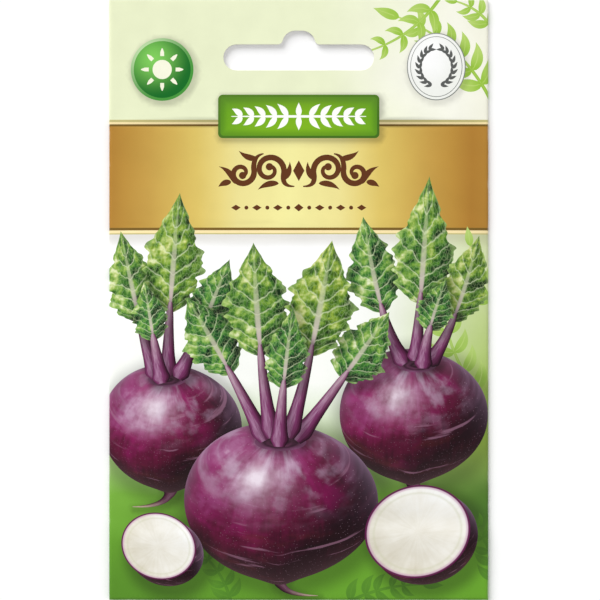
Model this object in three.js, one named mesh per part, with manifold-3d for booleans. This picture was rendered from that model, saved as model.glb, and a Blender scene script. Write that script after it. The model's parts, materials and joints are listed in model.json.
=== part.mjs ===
// Seed packet: a flat paper bag with a euro hang slot, and the sealed sachet of seeds inside it.
// Millimetres, +Z up. The packet lies on its back with its printed front facing up.
// X runs across the packet, Y from its folded foot to its header.
// The origin is on the surface it lies on, under the middle of the packet.
import * as THREE from "three";
import { mergeVertices } from "three/addons/utils/BufferGeometryUtils.js";
import Module from "manifold-3d";

// Driving dimensions of the bag
const WIDTH = 80;
const HEIGHT = 126.5;
const PLY = 0.2;
const GLUE_GAP = 0.2;

// Swell of the front over the sachet: its height, how square it is, and the shares of the room's length
// where it has risen and where it starts to fall
const BULGE = 3.2;
const BULGE_POWER = 4;
const BULGE_FROM_FOOT = 3;
const BULGE_FULL = 0.25;
const BULGE_FALLS = 0.6;

// Back seam, foot flap and glued header
const SEAM_OVERLAP = 12;
const SEAM_JOGGLE = 3.5;
const SEAM_CLEARANCE = 1.5;
const FLAP_LENGTH = 12;
const FLAP_TAPER = 4;
const FLAP_INSET = 0.4;
const FLAP_CLEARANCE = 0.6;
const FLAP_JOGGLE = 4;
const FLAP_LAP = 1;
const HEADER_LENGTH = 20;

// Euro hang slot, measured from the middle of its bar
const SLOT_FROM_TOP = 12.1;
const SLOT_HALF_WIDTH = 15.9;
const SLOT_HALF_BAR = 2.75;
const CROWN_RISE = 5.65;
const CROWN_HALF_TOP = 0.7;
const CROWN_RADIUS = 2.8;
const CROWN_FILLET = 1;

// Inner sachet of two webs, sealed round its rim
const SACHET_WIDTH = 58;
const SACHET_HEIGHT = 64;
const SACHET_SEAL = 6;
const SACHET_FROM_FOOT = 18;
const SACHET_RISE = 2.1;

// Seeds, in one loose layer in the lower half of the sachet
const SEED_RADIUS = 0.85;
const SEED_PITCH = 1.3;
const SEED_JITTER = 0.05;
const SEED_PATCH = { halfX: 9, halfY: 3.6, fromFoot: 40 };
const SEED_DRAW = 7;

// Levels worked out from the plies: left back panel, right back panel, front
const PITCH = PLY + GLUE_GAP;
const EDGE_HEIGHT = 3 * PLY + 2 * GLUE_GAP;
const FOLD_RADIUS = EDGE_HEIGHT / 2;
const FOLD_X = WIDTH / 2 - FOLD_RADIUS;
const FOOT_Y = -HEIGHT / 2;
const TOP_Y = HEIGHT / 2;
const FOOT_RADIUS = (EDGE_HEIGHT + PITCH) / 2;
const PANEL_START_Y = FOOT_Y + FOOT_RADIUS;
const FLAP_END_Y = PANEL_START_Y + FLAP_LENGTH;
const HEADER_Y = TOP_Y - HEADER_LENGTH;
const SACHET_MID_Y = FOOT_Y + SACHET_FROM_FOOT + SACHET_HEIGHT / 2;
const SACHET_FLOOR = EDGE_HEIGHT - PLY;
const BULGE_START_Y = FOOT_Y + BULGE_FROM_FOOT;

// How finely curved faces are divided, and the distance within which points are one
const FOOT_ROWS = 2;
const BULGE_ROWS = 14;
const FOLD_STEPS = 5;
const FRONT_STEPS = 16;
const ARC_STEPS = 8;
const WEB_STEPS = 14;
const SAME_POINT = 1e-4;

const AXIS_X = new THREE.Vector3(1, 0, 0);
const AXIS_Y = new THREE.Vector3(0, 1, 0);
const AXIS_Z = new THREE.Vector3(0, 0, 1);

const wasm = await Module();
wasm.setup();

// A closed geometry as a solid that can be joined and cut
function solidOf(geometry) {
  const bare = geometry.clone();
  bare.deleteAttribute("normal");
  bare.deleteAttribute("uv");
  const merged = mergeVertices(bare, SAME_POINT);
  return new wasm.Manifold(
    new wasm.Mesh({
      numProp: 3,
      vertProperties: new Float32Array(merged.attributes.position.array),
      triVerts: new Uint32Array(merged.index.array),
    }),
  );
}

function geometryOf(solid) {
  const mesh = solid.getMesh();
  return new THREE.BufferGeometry()
    .setAttribute("position", new THREE.BufferAttribute(mesh.vertProperties, 3))
    .setIndex(new THREE.BufferAttribute(mesh.triVerts, 1));
}

// A flat blank of paper, each of its grid points moved to where folding takes it.
// place gets a column, a row and a side, which is 1 on the outer face and -1 on the inner one.
function foldedBlank(columns, rows, place) {
  const blank = new THREE.BoxGeometry(columns, rows, 1, columns, rows, 1);
  const points = blank.attributes.position;
  for (let i = 0; i < points.count; i++) {
    const column = Math.round(points.getX(i) + columns / 2);
    const row = Math.round(points.getY(i) + rows / 2);
    const point = place(column, row, Math.sign(points.getZ(i)));
    points.setXYZ(i, point.x, point.y, point.z);
  }
  return solidOf(blank);
}

function evenSteps(start, end, steps) {
  return Array.from({ length: steps + 1 }, (_, i) => start + ((end - start) * i) / steps);
}

// How far the back panels stand off the surface, where the foot flap lies under them
function flapLift(y) {
  return PITCH * (1 - THREE.MathUtils.smoothstep(y, FLAP_END_Y + FLAP_CLEARANCE, FLAP_END_Y + FLAP_JOGGLE));
}

// How far the front swells over the sachet
function frontBulge(x, y) {
  const along = (y - BULGE_START_Y) / (HEADER_Y - BULGE_START_Y);
  const risen = THREE.MathUtils.smoothstep(along, 0, BULGE_FULL);
  const fallen = THREE.MathUtils.smoothstep(along, BULGE_FALLS, 1);
  const across = 1 - Math.pow(Math.abs(x) / FOLD_X, BULGE_POWER);
  return BULGE * risen * (1 - fallen) * Math.max(across, 0);
}

// The bag's cross-section as one ply's route: from the seam's outer edge under the left back panel, round
// the left fold, over the front, round the right fold and under the right back panel to the hidden edge.
// Each stop gives x, the ply's middle height at y, and the direction of its outer face.
const SECTION = [
  ...[SEAM_OVERLAP / 2, -SEAM_OVERLAP / 2].map((x) => backStop(x, 0)),
  ...foldStops(-FOLD_X, 1.5 * Math.PI, 0.5 * Math.PI),
  ...evenSteps(-FOLD_X, FOLD_X, FRONT_STEPS).slice(1, -1).map(frontStop),
  ...foldStops(FOLD_X, 0.5 * Math.PI, -0.5 * Math.PI),
  backStop(SEAM_OVERLAP / 2 + SEAM_CLEARANCE + SEAM_JOGGLE, 0),
  backStop(SEAM_OVERLAP / 2 + SEAM_CLEARANCE, PITCH),
  backStop(-SEAM_OVERLAP / 2, PITCH),
];

function backStop(x, raised) {
  return { x, outX: 0, outZ: -1, height: (y) => flapLift(y) + raised + PLY / 2 };
}

function frontStop(x) {
  return { x, outX: 0, outZ: 1, height: (y) => flapLift(y) + EDGE_HEIGHT - PLY / 2 + frontBulge(x, y) };
}

function foldStops(centreX, startAngle, endAngle) {
  const radius = FOLD_RADIUS - PLY / 2;
  return evenSteps(startAngle, endAngle, FOLD_STEPS).map((angle) => ({
    x: centreX + radius * Math.cos(angle),
    outX: Math.cos(angle),
    outZ: Math.sin(angle),
    height: (y) => flapLift(y) + FOLD_RADIUS + radius * Math.sin(angle),
  }));
}

const BAG_ROWS = [
  PANEL_START_Y,
  ...evenSteps(BULGE_START_Y, FLAP_END_Y + FLAP_CLEARANCE, FOOT_ROWS),
  FLAP_END_Y + FLAP_JOGGLE / 2,
  ...evenSteps(FLAP_END_Y + FLAP_JOGGLE, HEADER_Y, BULGE_ROWS),
  TOP_Y,
];

function bagTube() {
  return foldedBlank(SECTION.length - 1, BAG_ROWS.length - 1, (column, row, side) => {
    const stop = SECTION[column];
    const y = BAG_ROWS[row];
    const offset = (side * PLY) / 2;
    return { x: stop.x + offset * stop.outX, y, z: stop.height(y) + offset * stop.outZ };
  });
}

// The front's foot edge, turned round the open end of the bag
function footFold() {
  const half = WIDTH / 2 - FLAP_INSET;
  const section = new THREE.Shape();
  section.moveTo(FLAP_LAP, FOOT_RADIUS);
  section.lineTo(0, FOOT_RADIUS);
  section.absarc(0, 0, FOOT_RADIUS, Math.PI / 2, 1.5 * Math.PI, false);
  section.lineTo(FLAP_LAP, -FOOT_RADIUS);
  section.lineTo(FLAP_LAP, -FOOT_RADIUS + PLY);
  section.lineTo(0, -FOOT_RADIUS + PLY);
  section.absarc(0, 0, FOOT_RADIUS - PLY, 1.5 * Math.PI, Math.PI / 2, true);
  section.lineTo(FLAP_LAP, FOOT_RADIUS - PLY);
  section.closePath();
  const fold = new THREE.ExtrudeGeometry(section, {
    depth: 2 * half,
    bevelEnabled: false,
    curveSegments: ARC_STEPS,
  });
  fold.applyMatrix4(new THREE.Matrix4().makeBasis(AXIS_Y, AXIS_Z, AXIS_X));
  fold.translate(-half, PANEL_START_Y, FOOT_RADIUS);
  return solidOf(fold);
}

// The flap's flat run under the back panels, narrower towards its free edge
function footFlap() {
  const half = WIDTH / 2 - FLAP_INSET;
  const outline = new THREE.Shape();
  outline.moveTo(-half, PANEL_START_Y);
  outline.lineTo(half, PANEL_START_Y);
  outline.lineTo(half - FLAP_TAPER, FLAP_END_Y);
  outline.lineTo(-half + FLAP_TAPER, FLAP_END_Y);
  outline.closePath();
  return solidOf(new THREE.ExtrudeGeometry(outline, { depth: PLY, bevelEnabled: false }));
}

// Glue that bonds the plies of the header into one board, above the room for the sachet
function headerGlue() {
  const radius = FOLD_RADIUS - PLY / 2;
  const section = new THREE.Shape();
  section.moveTo(-FOLD_X, -radius);
  section.lineTo(FOLD_X, -radius);
  section.absarc(FOLD_X, 0, radius, -Math.PI / 2, Math.PI / 2, false);
  section.lineTo(-FOLD_X, radius);
  section.absarc(-FOLD_X, 0, radius, Math.PI / 2, 1.5 * Math.PI, false);
  const glue = new THREE.ExtrudeGeometry(section, {
    depth: HEADER_LENGTH,
    bevelEnabled: false,
    curveSegments: ARC_STEPS,
  });
  glue.applyMatrix4(new THREE.Matrix4().makeBasis(AXIS_X, AXIS_Z, AXIS_Y.clone().negate()));
  glue.translate(0, TOP_Y, FOLD_RADIUS);
  return solidOf(glue);
}

// Cutter for the hang slot: a round-ended bar with a domed crown in its upper edge.
// Each side of the dome meets a fillet at the same angle.
function slotCutter() {
  const end = SLOT_HALF_WIDTH - SLOT_HALF_BAR;
  const domeY = CROWN_RISE - CROWN_RADIUS;
  const filletY = SLOT_HALF_BAR + CROWN_FILLET;
  const meet = Math.asin((filletY - domeY) / (CROWN_RADIUS + CROWN_FILLET));
  const filletX = CROWN_HALF_TOP + (CROWN_RADIUS + CROWN_FILLET) * Math.cos(meet);
  const outline = new THREE.Shape();
  outline.moveTo(-end, -SLOT_HALF_BAR);
  outline.lineTo(end, -SLOT_HALF_BAR);
  outline.absarc(end, 0, SLOT_HALF_BAR, -Math.PI / 2, Math.PI / 2, false);
  outline.lineTo(filletX, SLOT_HALF_BAR);
  outline.absarc(filletX, filletY, CROWN_FILLET, -Math.PI / 2, meet - Math.PI, true);
  outline.absarc(CROWN_HALF_TOP, domeY, CROWN_RADIUS, meet, Math.PI / 2, false);
  outline.lineTo(-CROWN_HALF_TOP, CROWN_RISE);
  outline.absarc(-CROWN_HALF_TOP, domeY, CROWN_RADIUS, Math.PI / 2, Math.PI - meet, false);
  outline.absarc(-filletX, filletY, CROWN_FILLET, -meet, -Math.PI / 2, true);
  outline.lineTo(-end, SLOT_HALF_BAR);
  outline.absarc(-end, 0, SLOT_HALF_BAR, Math.PI / 2, 1.5 * Math.PI, false);
  const cutter = new THREE.ExtrudeGeometry(outline, {
    depth: 2 * EDGE_HEIGHT,
    bevelEnabled: false,
    curveSegments: ARC_STEPS,
  });
  cutter.translate(0, TOP_Y - SLOT_FROM_TOP, -EDGE_HEIGHT / 2);
  return solidOf(cutter);
}

function paperBag() {
  return bagTube().add(footFold()).add(footFlap()).add(headerGlue()).subtract(slotCutter());
}

// How far the sachet's upper web stands above its sealed rim
function sachetRise(x, y) {
  const halfX = SACHET_WIDTH / 2 - SACHET_SEAL;
  const halfY = SACHET_HEIGHT / 2 - SACHET_SEAL;
  const across = 1 - Math.pow(Math.min(Math.abs(x) / halfX, 1), BULGE_POWER);
  const along = 1 - Math.pow(Math.min(Math.abs(y - SACHET_MID_Y) / halfY, 1), BULGE_POWER);
  return SACHET_RISE * across * along;
}

// One web of the sachet; base is the height of its underside at the rim
function sachetWeb(base, rise, steps) {
  const columns = evenSteps(-SACHET_WIDTH / 2, SACHET_WIDTH / 2, steps);
  const rows = evenSteps(-SACHET_HEIGHT / 2, SACHET_HEIGHT / 2, steps);
  return foldedBlank(steps, steps, (column, row, side) => {
    const x = columns[column];
    const y = SACHET_MID_Y + rows[row];
    return { x, y, z: base + (side > 0 ? PLY : 0) + rise(x, y) };
  });
}

// Seeds on a staggered lattice inside an oval patch, each turned at random, touching their neighbours
function seedLayer() {
  const level = SACHET_FLOOR + PITCH + SEED_RADIUS;
  const rowPitch = SEED_PITCH * Math.sin(Math.PI / 3);
  const draw = () => THREE.MathUtils.seededRandom() - 0.5;
  THREE.MathUtils.seededRandom(SEED_DRAW);
  const seeds = [];
  const rowReach = Math.floor(SEED_PATCH.halfY / rowPitch);
  const columnReach = Math.ceil(SEED_PATCH.halfX / SEED_PITCH);
  for (let row = -rowReach; row <= rowReach; row++) {
    for (let column = -columnReach; column <= columnReach; column++) {
      const x = (column + (row % 2 === 0 ? 0 : 0.5)) * SEED_PITCH;
      const y = row * rowPitch;
      if (Math.hypot(x / SEED_PATCH.halfX, y / SEED_PATCH.halfY) > 1) continue;
      const seed = new THREE.IcosahedronGeometry(SEED_RADIUS, 0);
      seed.applyQuaternion(new THREE.Quaternion(draw(), draw(), draw(), draw()).normalize());
      seed.translate(
        x + SEED_JITTER * draw(),
        FOOT_Y + SEED_PATCH.fromFoot + y + SEED_JITTER * draw(),
        level,
      );
      seeds.push(solidOf(seed));
    }
  }
  return wasm.Manifold.union(seeds);
}

const printedPaper = new THREE.MeshStandardMaterial({ color: 0xecf2ce, roughness: 0.45, metalness: 0 });
const sachetPaper = new THREE.MeshStandardMaterial({ color: 0xe6e4dc, roughness: 0.6, metalness: 0 });
const seedCoat = new THREE.MeshStandardMaterial({ color: 0x4a2c22, roughness: 0.7, metalness: 0 });

function named(name, solid, material) {
  const mesh = new THREE.Mesh(geometryOf(solid), material);
  mesh.name = name;
  return mesh;
}

const sachet = new THREE.Group();
sachet.add(
  named("sachet_lower_web", sachetWeb(SACHET_FLOOR, () => 0, 1), sachetPaper),
  named("sachet_upper_web", sachetWeb(SACHET_FLOOR + PITCH, sachetRise, WEB_STEPS), sachetPaper),
  named("seeds", seedLayer(), seedCoat),
);

const seedPacket = new THREE.Group();
seedPacket.add(named("paper_bag", paperBag(), printedPaper), sachet);

export default seedPacket;
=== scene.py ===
# Looks of the seed packet: a bag of coated paper, printed on both sides and punched for a display hook,
# with a sachet of seeds inside. Lengths are in millimetres until a mesh is made of them, and colours are
# screen values from 0 to 255 until a node takes them.
import json
import math
import random

import bmesh
import bpy
import numpy as np
from mathutils import Euler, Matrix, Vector
from mathutils.geometry import delaunay_2d_cdt


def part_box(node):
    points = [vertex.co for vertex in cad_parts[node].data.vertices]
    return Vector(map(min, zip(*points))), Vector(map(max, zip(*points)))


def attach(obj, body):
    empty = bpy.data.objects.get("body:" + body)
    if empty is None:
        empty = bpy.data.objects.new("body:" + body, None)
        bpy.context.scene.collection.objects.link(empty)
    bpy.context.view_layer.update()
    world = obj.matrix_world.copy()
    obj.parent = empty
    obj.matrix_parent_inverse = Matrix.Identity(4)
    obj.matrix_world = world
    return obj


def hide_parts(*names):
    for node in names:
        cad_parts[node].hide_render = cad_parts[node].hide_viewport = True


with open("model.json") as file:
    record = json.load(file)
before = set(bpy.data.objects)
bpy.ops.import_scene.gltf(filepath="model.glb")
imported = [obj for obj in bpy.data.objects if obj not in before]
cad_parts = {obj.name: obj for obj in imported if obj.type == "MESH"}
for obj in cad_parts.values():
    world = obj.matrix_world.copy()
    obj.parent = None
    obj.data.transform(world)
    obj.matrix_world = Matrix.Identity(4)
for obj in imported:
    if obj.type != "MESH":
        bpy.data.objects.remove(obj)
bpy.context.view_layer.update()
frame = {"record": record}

MM = 0.001
draw = random.Random(11)


def node_box(node):
    """A node's lowest and highest corners."""
    return [np.array(corner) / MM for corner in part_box(node)]


# The bag and what it holds, from the frame
BAG_LOW, BAG_HIGH = node_box("paper_bag")
LOWER_WEB_LOW, LOWER_WEB_HIGH = node_box("sachet_lower_web")
UPPER_WEB_LOW, UPPER_WEB_HIGH = node_box("sachet_upper_web")
SEEDS_LOW, SEEDS_HIGH = node_box("seeds")
SLOT_CROWN = next(mount["pos_m"] for mount in frame["record"]["mounts"] if mount["name"] == "slot_crown")
HALF_WIDTH = (BAG_HIGH[0] - BAG_LOW[0]) / 2
FOOT_Y = BAG_LOW[1]
TOP_Y = BAG_HIGH[1]
EDGE_HEIGHT = 2 * SLOT_CROWN[2] / MM
SWELL = BAG_HIGH[2] - EDGE_HEIGHT

# The bag's paper, its folds and its swell
PLY = 0.15
GLUED_PLIES = 5
FOLD_RADIUS = 0.55
ROOM_EDGE = 3.0
HEADER_Y = TOP_Y - 20.0
HEADER_EASE = 4.0
SWELL_START_Y = FOOT_Y + 3.0
SWELL_FULL_FROM, SWELL_FULL_TO = 0.25, 0.6
SWELL_POWER = 4.0
BUCKLE = 0.10
BUCKLE_FROM, BUCKLE_TO = 0.35, 0.95
BUCKLE_PACE, BUCKLE_OFFSET, BUCKLE_SLANT = 0.47, 1.3, 0.02
SACHET_MARK = 0.07
SACHET_MARK_EDGE = 1.6

# The foot flap and the lap seam on the back, and how the plies settle beside them
FLAP_LIFT = 0.4
FLAP_LIFT_EASE = 5.0
FLAP_END_Y = FOOT_Y + 12.7
FLAP_INSET = 0.5
FLAP_TAPER = 4.0
SEAM_X = 6.0
LAP_STEP = 0.22
LAP_SLOPE = 0.04
SETTLE_FROM, SETTLE_TO = 1.0, 6.0

# The hang slot, measured from the middle of its bar
SLOT_HALF_WIDTH = 15.9
SLOT_HALF_BAR = 2.75
CROWN_RISE = 5.65
CROWN_HALF_TOP = 0.7
CROWN_RADIUS = 2.8
CROWN_FILLET = 1.0
SLOT_Y = SLOT_CROWN[1] / MM - CROWN_RISE

# The sachet and its seeds
WEB_PLY = 0.12
WEB_CREASE = 40
SEAL_WIDTH = 6.0
SEAL_EASE = 0.8
SEAL_GAP = 0.01
CRIMP = 0.03
CRIMP_PITCH = 2.4
SEED_RADIUS = 0.82
SEED_PITCH, SEED_ROW_PITCH = 1.66, 1.444
SEED_DIMPLE, DIMPLE_REACH = 0.08, 0.12
SEED_SQUASH = ((0.93, 1.0), (0.93, 1.0), (0.84, 0.92))
PATCH_SLACK, PATCH_EDGE = 0.01, 1.02
SEED_CREASE = 80

# Mesh fineness
PRINT_PITCH = 1.0
FOLD_MARGIN = 0.7
FOLD_SHARES = (0.0, 0.06, 0.25, 0.55, 1.0)
SIDE_STEPS, FOOT_STEPS = 109, 71
WEB_PITCH = 0.6
ARC_STEPS = 10
CORNER_STEPS = 6
CLEAR_OF_LINES = 0.22
NO_LENGTH = 1e-9
SAME_POINT = 1e-4
SAME_HEIGHT = 1e-5
SHEET_CREASE = 50

# Print runs round the side folds on to the back, and past the edges that trim it
BLEED = 1.5
PAST_EDGE = 1.0

# Steps of this share of 1 spread the printed shapes' tones evenly
GOLDEN_SHARE = 0.618

# The printed face fills a flat map above a strip, and the other faces share a corner in the strip
MAP_STRIP = 0.08
MAP_CORNER = 0.06

# Proportions of curls, leaves and sprigs
SPIRAL_POINTS, CURL_TAIL_STEPS, SPIRAL_END = 40, 15, 0.2
BLADE_FOOT_BLUNT, BLADE_TIP_SHARPER, BLADE_LEAST = 0.8, 0.35, 0.02
EDGE_WAVES = ((2.5, 0.072), (6, 0.09), (11, 0.054), (19, 0.0225))
EDGE_WAVE_PACES = (0.85, 1.15)
EDGE_WAVES_FADE = 0.7
STEM_STEPS, LEAFLET_STEPS = 24, 12
STEM_WIDTHS = (0.38, 0.3, 0.16)
FIRST_PAIR, PAIRS_SPAN = 4, 18
LEAFLET_SHRINK = 0.45
LEAFLET_OUT, LEAFLET_AHEAD, LEAFLET_BEND, LEAFLET_WIDTH = 0.72, 0.7, 0.12, 0.2
TIP_LEAFLET, TIP_LEAFLET_WIDTH = 0.7, 0.17

# Light inside the printed pictures comes from the upper left
PICTURE_LIGHT = np.array((-0.46, 0.52, 0.72))
SHADOW_SHIFT = np.array((0.9, -1.1))
SHADOW_FULL_REACH = 3.0


# Heights of the bag's faces


def smooth_step(low, high, values):
    """0 at low and 1 at high, smooth between; low may be the larger."""
    share = np.clip((values - low) / (high - low), 0, 1)
    return share * share * (3 - 2 * share)


def inside_fold(x, y):
    """How far points lie inside the folded outline."""
    return np.minimum(HALF_WIDTH - np.abs(x), y - FOOT_Y)


def flap_lift(y):
    """How far the plies are lifted where the foot flap lies behind them."""
    return FLAP_LIFT * smooth_step(FLAP_END_Y + FLAP_LIFT_EASE, FLAP_END_Y, y)


def fold_middle(y):
    """Height of the line along which the front turns into the back."""
    return (EDGE_HEIGHT + flap_lift(y)) / 2


def fold_rise(x, y):
    """0 on the folded outline and 1 a fold's radius inside it, round like the fold."""
    share = np.clip(inside_fold(x, y) / FOLD_RADIUS, 0, 1)
    return np.sqrt(np.clip(1 - (1 - share) ** 2, 0, 1))


def room_share(x, y):
    """1 over the room that holds the sachet, 0 in the glued header and at the folds."""
    return smooth_step(0, ROOM_EDGE, inside_fold(x, y)) * smooth_step(HEADER_Y, HEADER_Y - HEADER_EASE, y)


def sachet_mark(x, y):
    """1 where the front lies on the sachet, 0 beside it."""
    mark = 1.0
    for values, low, high in zip((x, y), UPPER_WEB_LOW, UPPER_WEB_HIGH):
        mark = mark * smooth_step(0, SACHET_MARK_EDGE, np.minimum(values - low, high - values))
    return mark


def front_flat(x, y):
    """Height of the front, before it turns down at the folds."""
    along = (y - SWELL_START_Y) / (HEADER_Y - SWELL_START_Y)
    out = np.abs(x) / HALF_WIDTH
    swell = smooth_step(0, SWELL_FULL_FROM, along) * smooth_step(1, SWELL_FULL_TO, along)
    swell = swell * (1 - out ** SWELL_POWER)
    waves = np.sin(BUCKLE_PACE * y + BUCKLE_OFFSET * np.sign(x) + BUCKLE_SLANT * x)
    buckle = BUCKLE * waves * smooth_step(BUCKLE_FROM, BUCKLE_TO, out)
    height = EDGE_HEIGHT + flap_lift(y) + swell * (SWELL + buckle)
    return height + SACHET_MARK * sachet_mark(x, y)


def front_outer(x, y):
    """Height of the printed front."""
    middle = fold_middle(y)
    return middle + (front_flat(x, y) - middle) * fold_rise(x, y)


def front_inner(x, y):
    """Height of the front's inner face, which meets the back's at the folds and in the header."""
    middle = fold_middle(y)
    return middle + np.maximum(front_outer(x, y) - PLY - middle, 0) * room_share(x, y)


def flap_outline(spread=0.0):
    """The foot flap's outline from below the foot, widened by spread."""
    half = HALF_WIDTH - FLAP_INSET + spread
    right = np.array(
        [(half, FOOT_Y - PAST_EDGE), (half, FOOT_Y + BLEED), (half - FLAP_TAPER, FLAP_END_Y + spread)]
    )
    return np.concatenate([right, right[::-1] * (-1, 1)])


def back_outer(x, y):
    """Height of the printed back: flat on the foot flap and the seam's lap, and settling beside them."""
    on_flap = inside_outline(flap_outline(LAP_SLOPE / 2), np.column_stack([x, y]))
    by_flap = smooth_step(FLAP_END_Y + SETTLE_TO, FLAP_END_Y + SETTLE_FROM, y)
    by_seam = smooth_step(SEAM_X + SETTLE_TO, SEAM_X + SETTLE_FROM, x) * (x > SEAM_X + LAP_SLOPE / 2)
    height = np.where(on_flap, 0.0, LAP_STEP * (by_flap + by_seam))
    middle = fold_middle(y)
    return middle + (height - middle) * fold_rise(x, y)


def back_inner(x, y):
    """Height of the back's inner face, which meets the front's at the folds and in the header."""
    middle = fold_middle(y)
    return middle - np.maximum(middle - back_outer(x, y) - PLY, 0) * room_share(x, y)


# Plane geometry


def arc(centre, radius, start, end, steps=ARC_STEPS):
    """Points along an arc between two angles in degrees."""
    angles = np.radians(np.linspace(start, end, steps + 1))
    return np.array(centre) + radius * np.column_stack([np.cos(angles), np.sin(angles)])


def slot_outline():
    """A round-ended bar with a domed crown in its upper edge, which runs into the bar in two fillets."""
    bar_end = (SLOT_HALF_WIDTH - SLOT_HALF_BAR, 0)
    dome = np.array((CROWN_HALF_TOP, CROWN_RISE - CROWN_RADIUS))
    apart = CROWN_RADIUS + CROWN_FILLET
    rise = SLOT_HALF_BAR + CROWN_FILLET - dome[1]
    fillet = dome + (math.sqrt(apart ** 2 - rise ** 2), rise)
    meet = math.degrees(math.asin(rise / apart))
    right = np.concatenate(
        [
            arc(bar_end, SLOT_HALF_BAR, -90, 90),
            arc(fillet, CROWN_FILLET, 270, 180 + meet, ARC_STEPS // 2)[:-1],
            arc(dome, CROWN_RADIUS, meet, 90),
        ]
    )
    return np.concatenate([right, right[::-1] * (-1, 1)]) + (0, SLOT_Y)


def inside_outline(outline, points):
    """Which points lie inside an outline."""
    inside = np.zeros(len(points), bool)
    for (ax, ay), (bx, by) in zip(outline, np.roll(outline, -1, axis=0)):
        if ay == by:
            continue
        crosses = (ay > points[:, 1]) != (by > points[:, 1])
        at = ax + (points[:, 1] - ay) * (bx - ax) / (by - ay)
        inside ^= crosses & (points[:, 0] < at)
    return inside


def distance_to(outline, points):
    """How far points lie from an outline."""
    best = np.full(len(points), np.inf)
    for start, end in zip(outline, np.roll(outline, -1, axis=0)):
        run = end - start
        off = points - start
        share = np.clip(off @ run / max(run @ run, NO_LENGTH), 0, 1)
        gap = off - share[:, None] * run
        best = np.minimum(best, (gap * gap).sum(1))
    return np.sqrt(best)


def near_box(points, outline, reach):
    """Which points lie in the outline's box, widened by reach."""
    low = outline.min(0) - reach
    high = outline.max(0) + reach
    return ((points > low) & (points < high)).all(1)


def staggered_points(low, high, pitch):
    """Points in staggered rows that fill a rectangle."""
    rows = []
    for number, y in enumerate(np.arange(low[1], high[1], pitch * math.sqrt(0.75))):
        x = np.arange(low[0] + pitch / 2 * (number % 2), high[0], pitch)
        rows.append(np.column_stack([x, np.full_like(x, y)]))
    return np.concatenate(rows)


def triangulate(points, outlines, lines):
    """Triangles over all the points, split along every outline and line, with the outlines round each."""
    verts = [Vector(point) for point in points]
    faces = []
    for outline in outlines:
        faces.append(list(range(len(verts), len(verts) + len(outline))))
        verts.extend(Vector(point) for point in outline)
    edges = []
    for line in lines:
        edges.extend((len(verts) + i, len(verts) + i + 1) for i in range(len(line) - 1))
        verts.extend(Vector(point) for point in line)
    places, _, triangles, _, _, owners = delaunay_2d_cdt(verts, edges, faces, 0, SAME_POINT, True)
    return np.array([tuple(place) for place in places]), np.array([list(t) for t in triangles]), owners


def curve(start, knee, end, steps):
    """A curve that leaves start towards knee and reaches end from it."""
    t = np.linspace(0, 1, steps + 1)[:, None]
    return (1 - t) ** 2 * np.array(start) + 2 * t * (1 - t) * np.array(knee) + t * t * np.array(end)


def bowed_line(start, end, bend, steps):
    """A curve from start to end whose middle is pushed to its left by bend."""
    start, end = np.array(start, float), np.array(end, float)
    run = end - start
    aside = np.array((-run[1], run[0])) / np.linalg.norm(run)
    return curve(start, (start + end) / 2 + 2 * bend * aside, end, steps)


def volute(tail, knee, centre, radius, start, turns):
    """A curl: a tail that runs by way of a knee into a spiral, which winds in to a share of its radius."""
    share = np.linspace(0, 1, SPIRAL_POINTS)
    angles = np.radians(start) + 2 * math.pi * turns * share
    radii = radius * (1 - (1 - SPIRAL_END) * share)
    spiral = np.array(centre) + radii[:, None] * np.column_stack([np.cos(angles), np.sin(angles)])
    return np.concatenate([curve(tail, knee, spiral[0], CURL_TAIL_STEPS)[:-1], spiral])


def left_of(path):
    """Unit vectors to the left of a path, at each of its points."""
    run = np.gradient(path, axis=0)
    return np.column_stack([-run[:, 1], run[:, 0]]) / np.linalg.norm(run, axis=1)[:, None]


def along_and_across(path, half_widths):
    """A function that gives points' share of the way along a path, and their offset in half widths."""
    start = path[:-1]
    run = np.diff(path, axis=0)
    stops = np.linspace(0, 1, len(path))

    def place(points):
        off = points[:, None] - start
        share = np.clip((off * run).sum(2) / (run * run).sum(1), 0, 1)
        gap = off - share[..., None] * run
        nearest = (gap * gap).sum(2).argmin(1)
        rows = np.arange(len(points))
        gap = gap[rows, nearest]
        side = np.sign(run[nearest, 0] * gap[:, 1] - run[nearest, 1] * gap[:, 0])
        along = (nearest + share[rows, nearest]) / len(run)
        across = side * np.hypot(gap[:, 0], gap[:, 1]) / np.interp(along, stops, half_widths)
        return np.column_stack([along, across])

    return place


# Printed shapes


class Motif:
    """One printed shape: its ink, its outline, where its points lie in its own coordinates, and the soft
    shadow that it throws on what is printed under it, or only on the inks that falls_on names."""

    def __init__(self, ink, outline, place, shadow=0.0, reach=1.0, falls_on=None):
        after = np.roll(outline, -1, axis=0)
        turn = outline[:, 0] @ after[:, 1] - outline[:, 1] @ after[:, 0]
        self.ink = ink
        self.outline = outline if turn > 0 else outline[::-1]
        self.place = place
        self.shadow = shadow
        self.reach = reach
        self.falls_on = falls_on

    def shades(self, ink):
        return self.shadow > 0 and (self.falls_on is None or ink in self.falls_on)

    def light_left(self, points):
        """Share of the light that this shape's shadow leaves at each point."""
        moved = points - SHADOW_SHIFT * min(self.reach / SHADOW_FULL_REACH, 1)
        light = np.ones(len(points))
        near = near_box(moved, self.outline, self.reach)
        if near.any():
            gap = distance_to(self.outline, moved[near])
            gap[inside_outline(self.outline, moved[near])] = 0
            light[near] = 1 - self.shadow * smooth_step(self.reach, 0, gap)
        return light


def shape(ink, outline, centre=(0, 0), size=1.0, **shadow):
    """A shape from its outline about a centre; its own coordinates are 1 at its size."""
    return Motif(ink, np.array(outline) + centre, lambda points: (points - centre) / size, **shadow)


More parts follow.
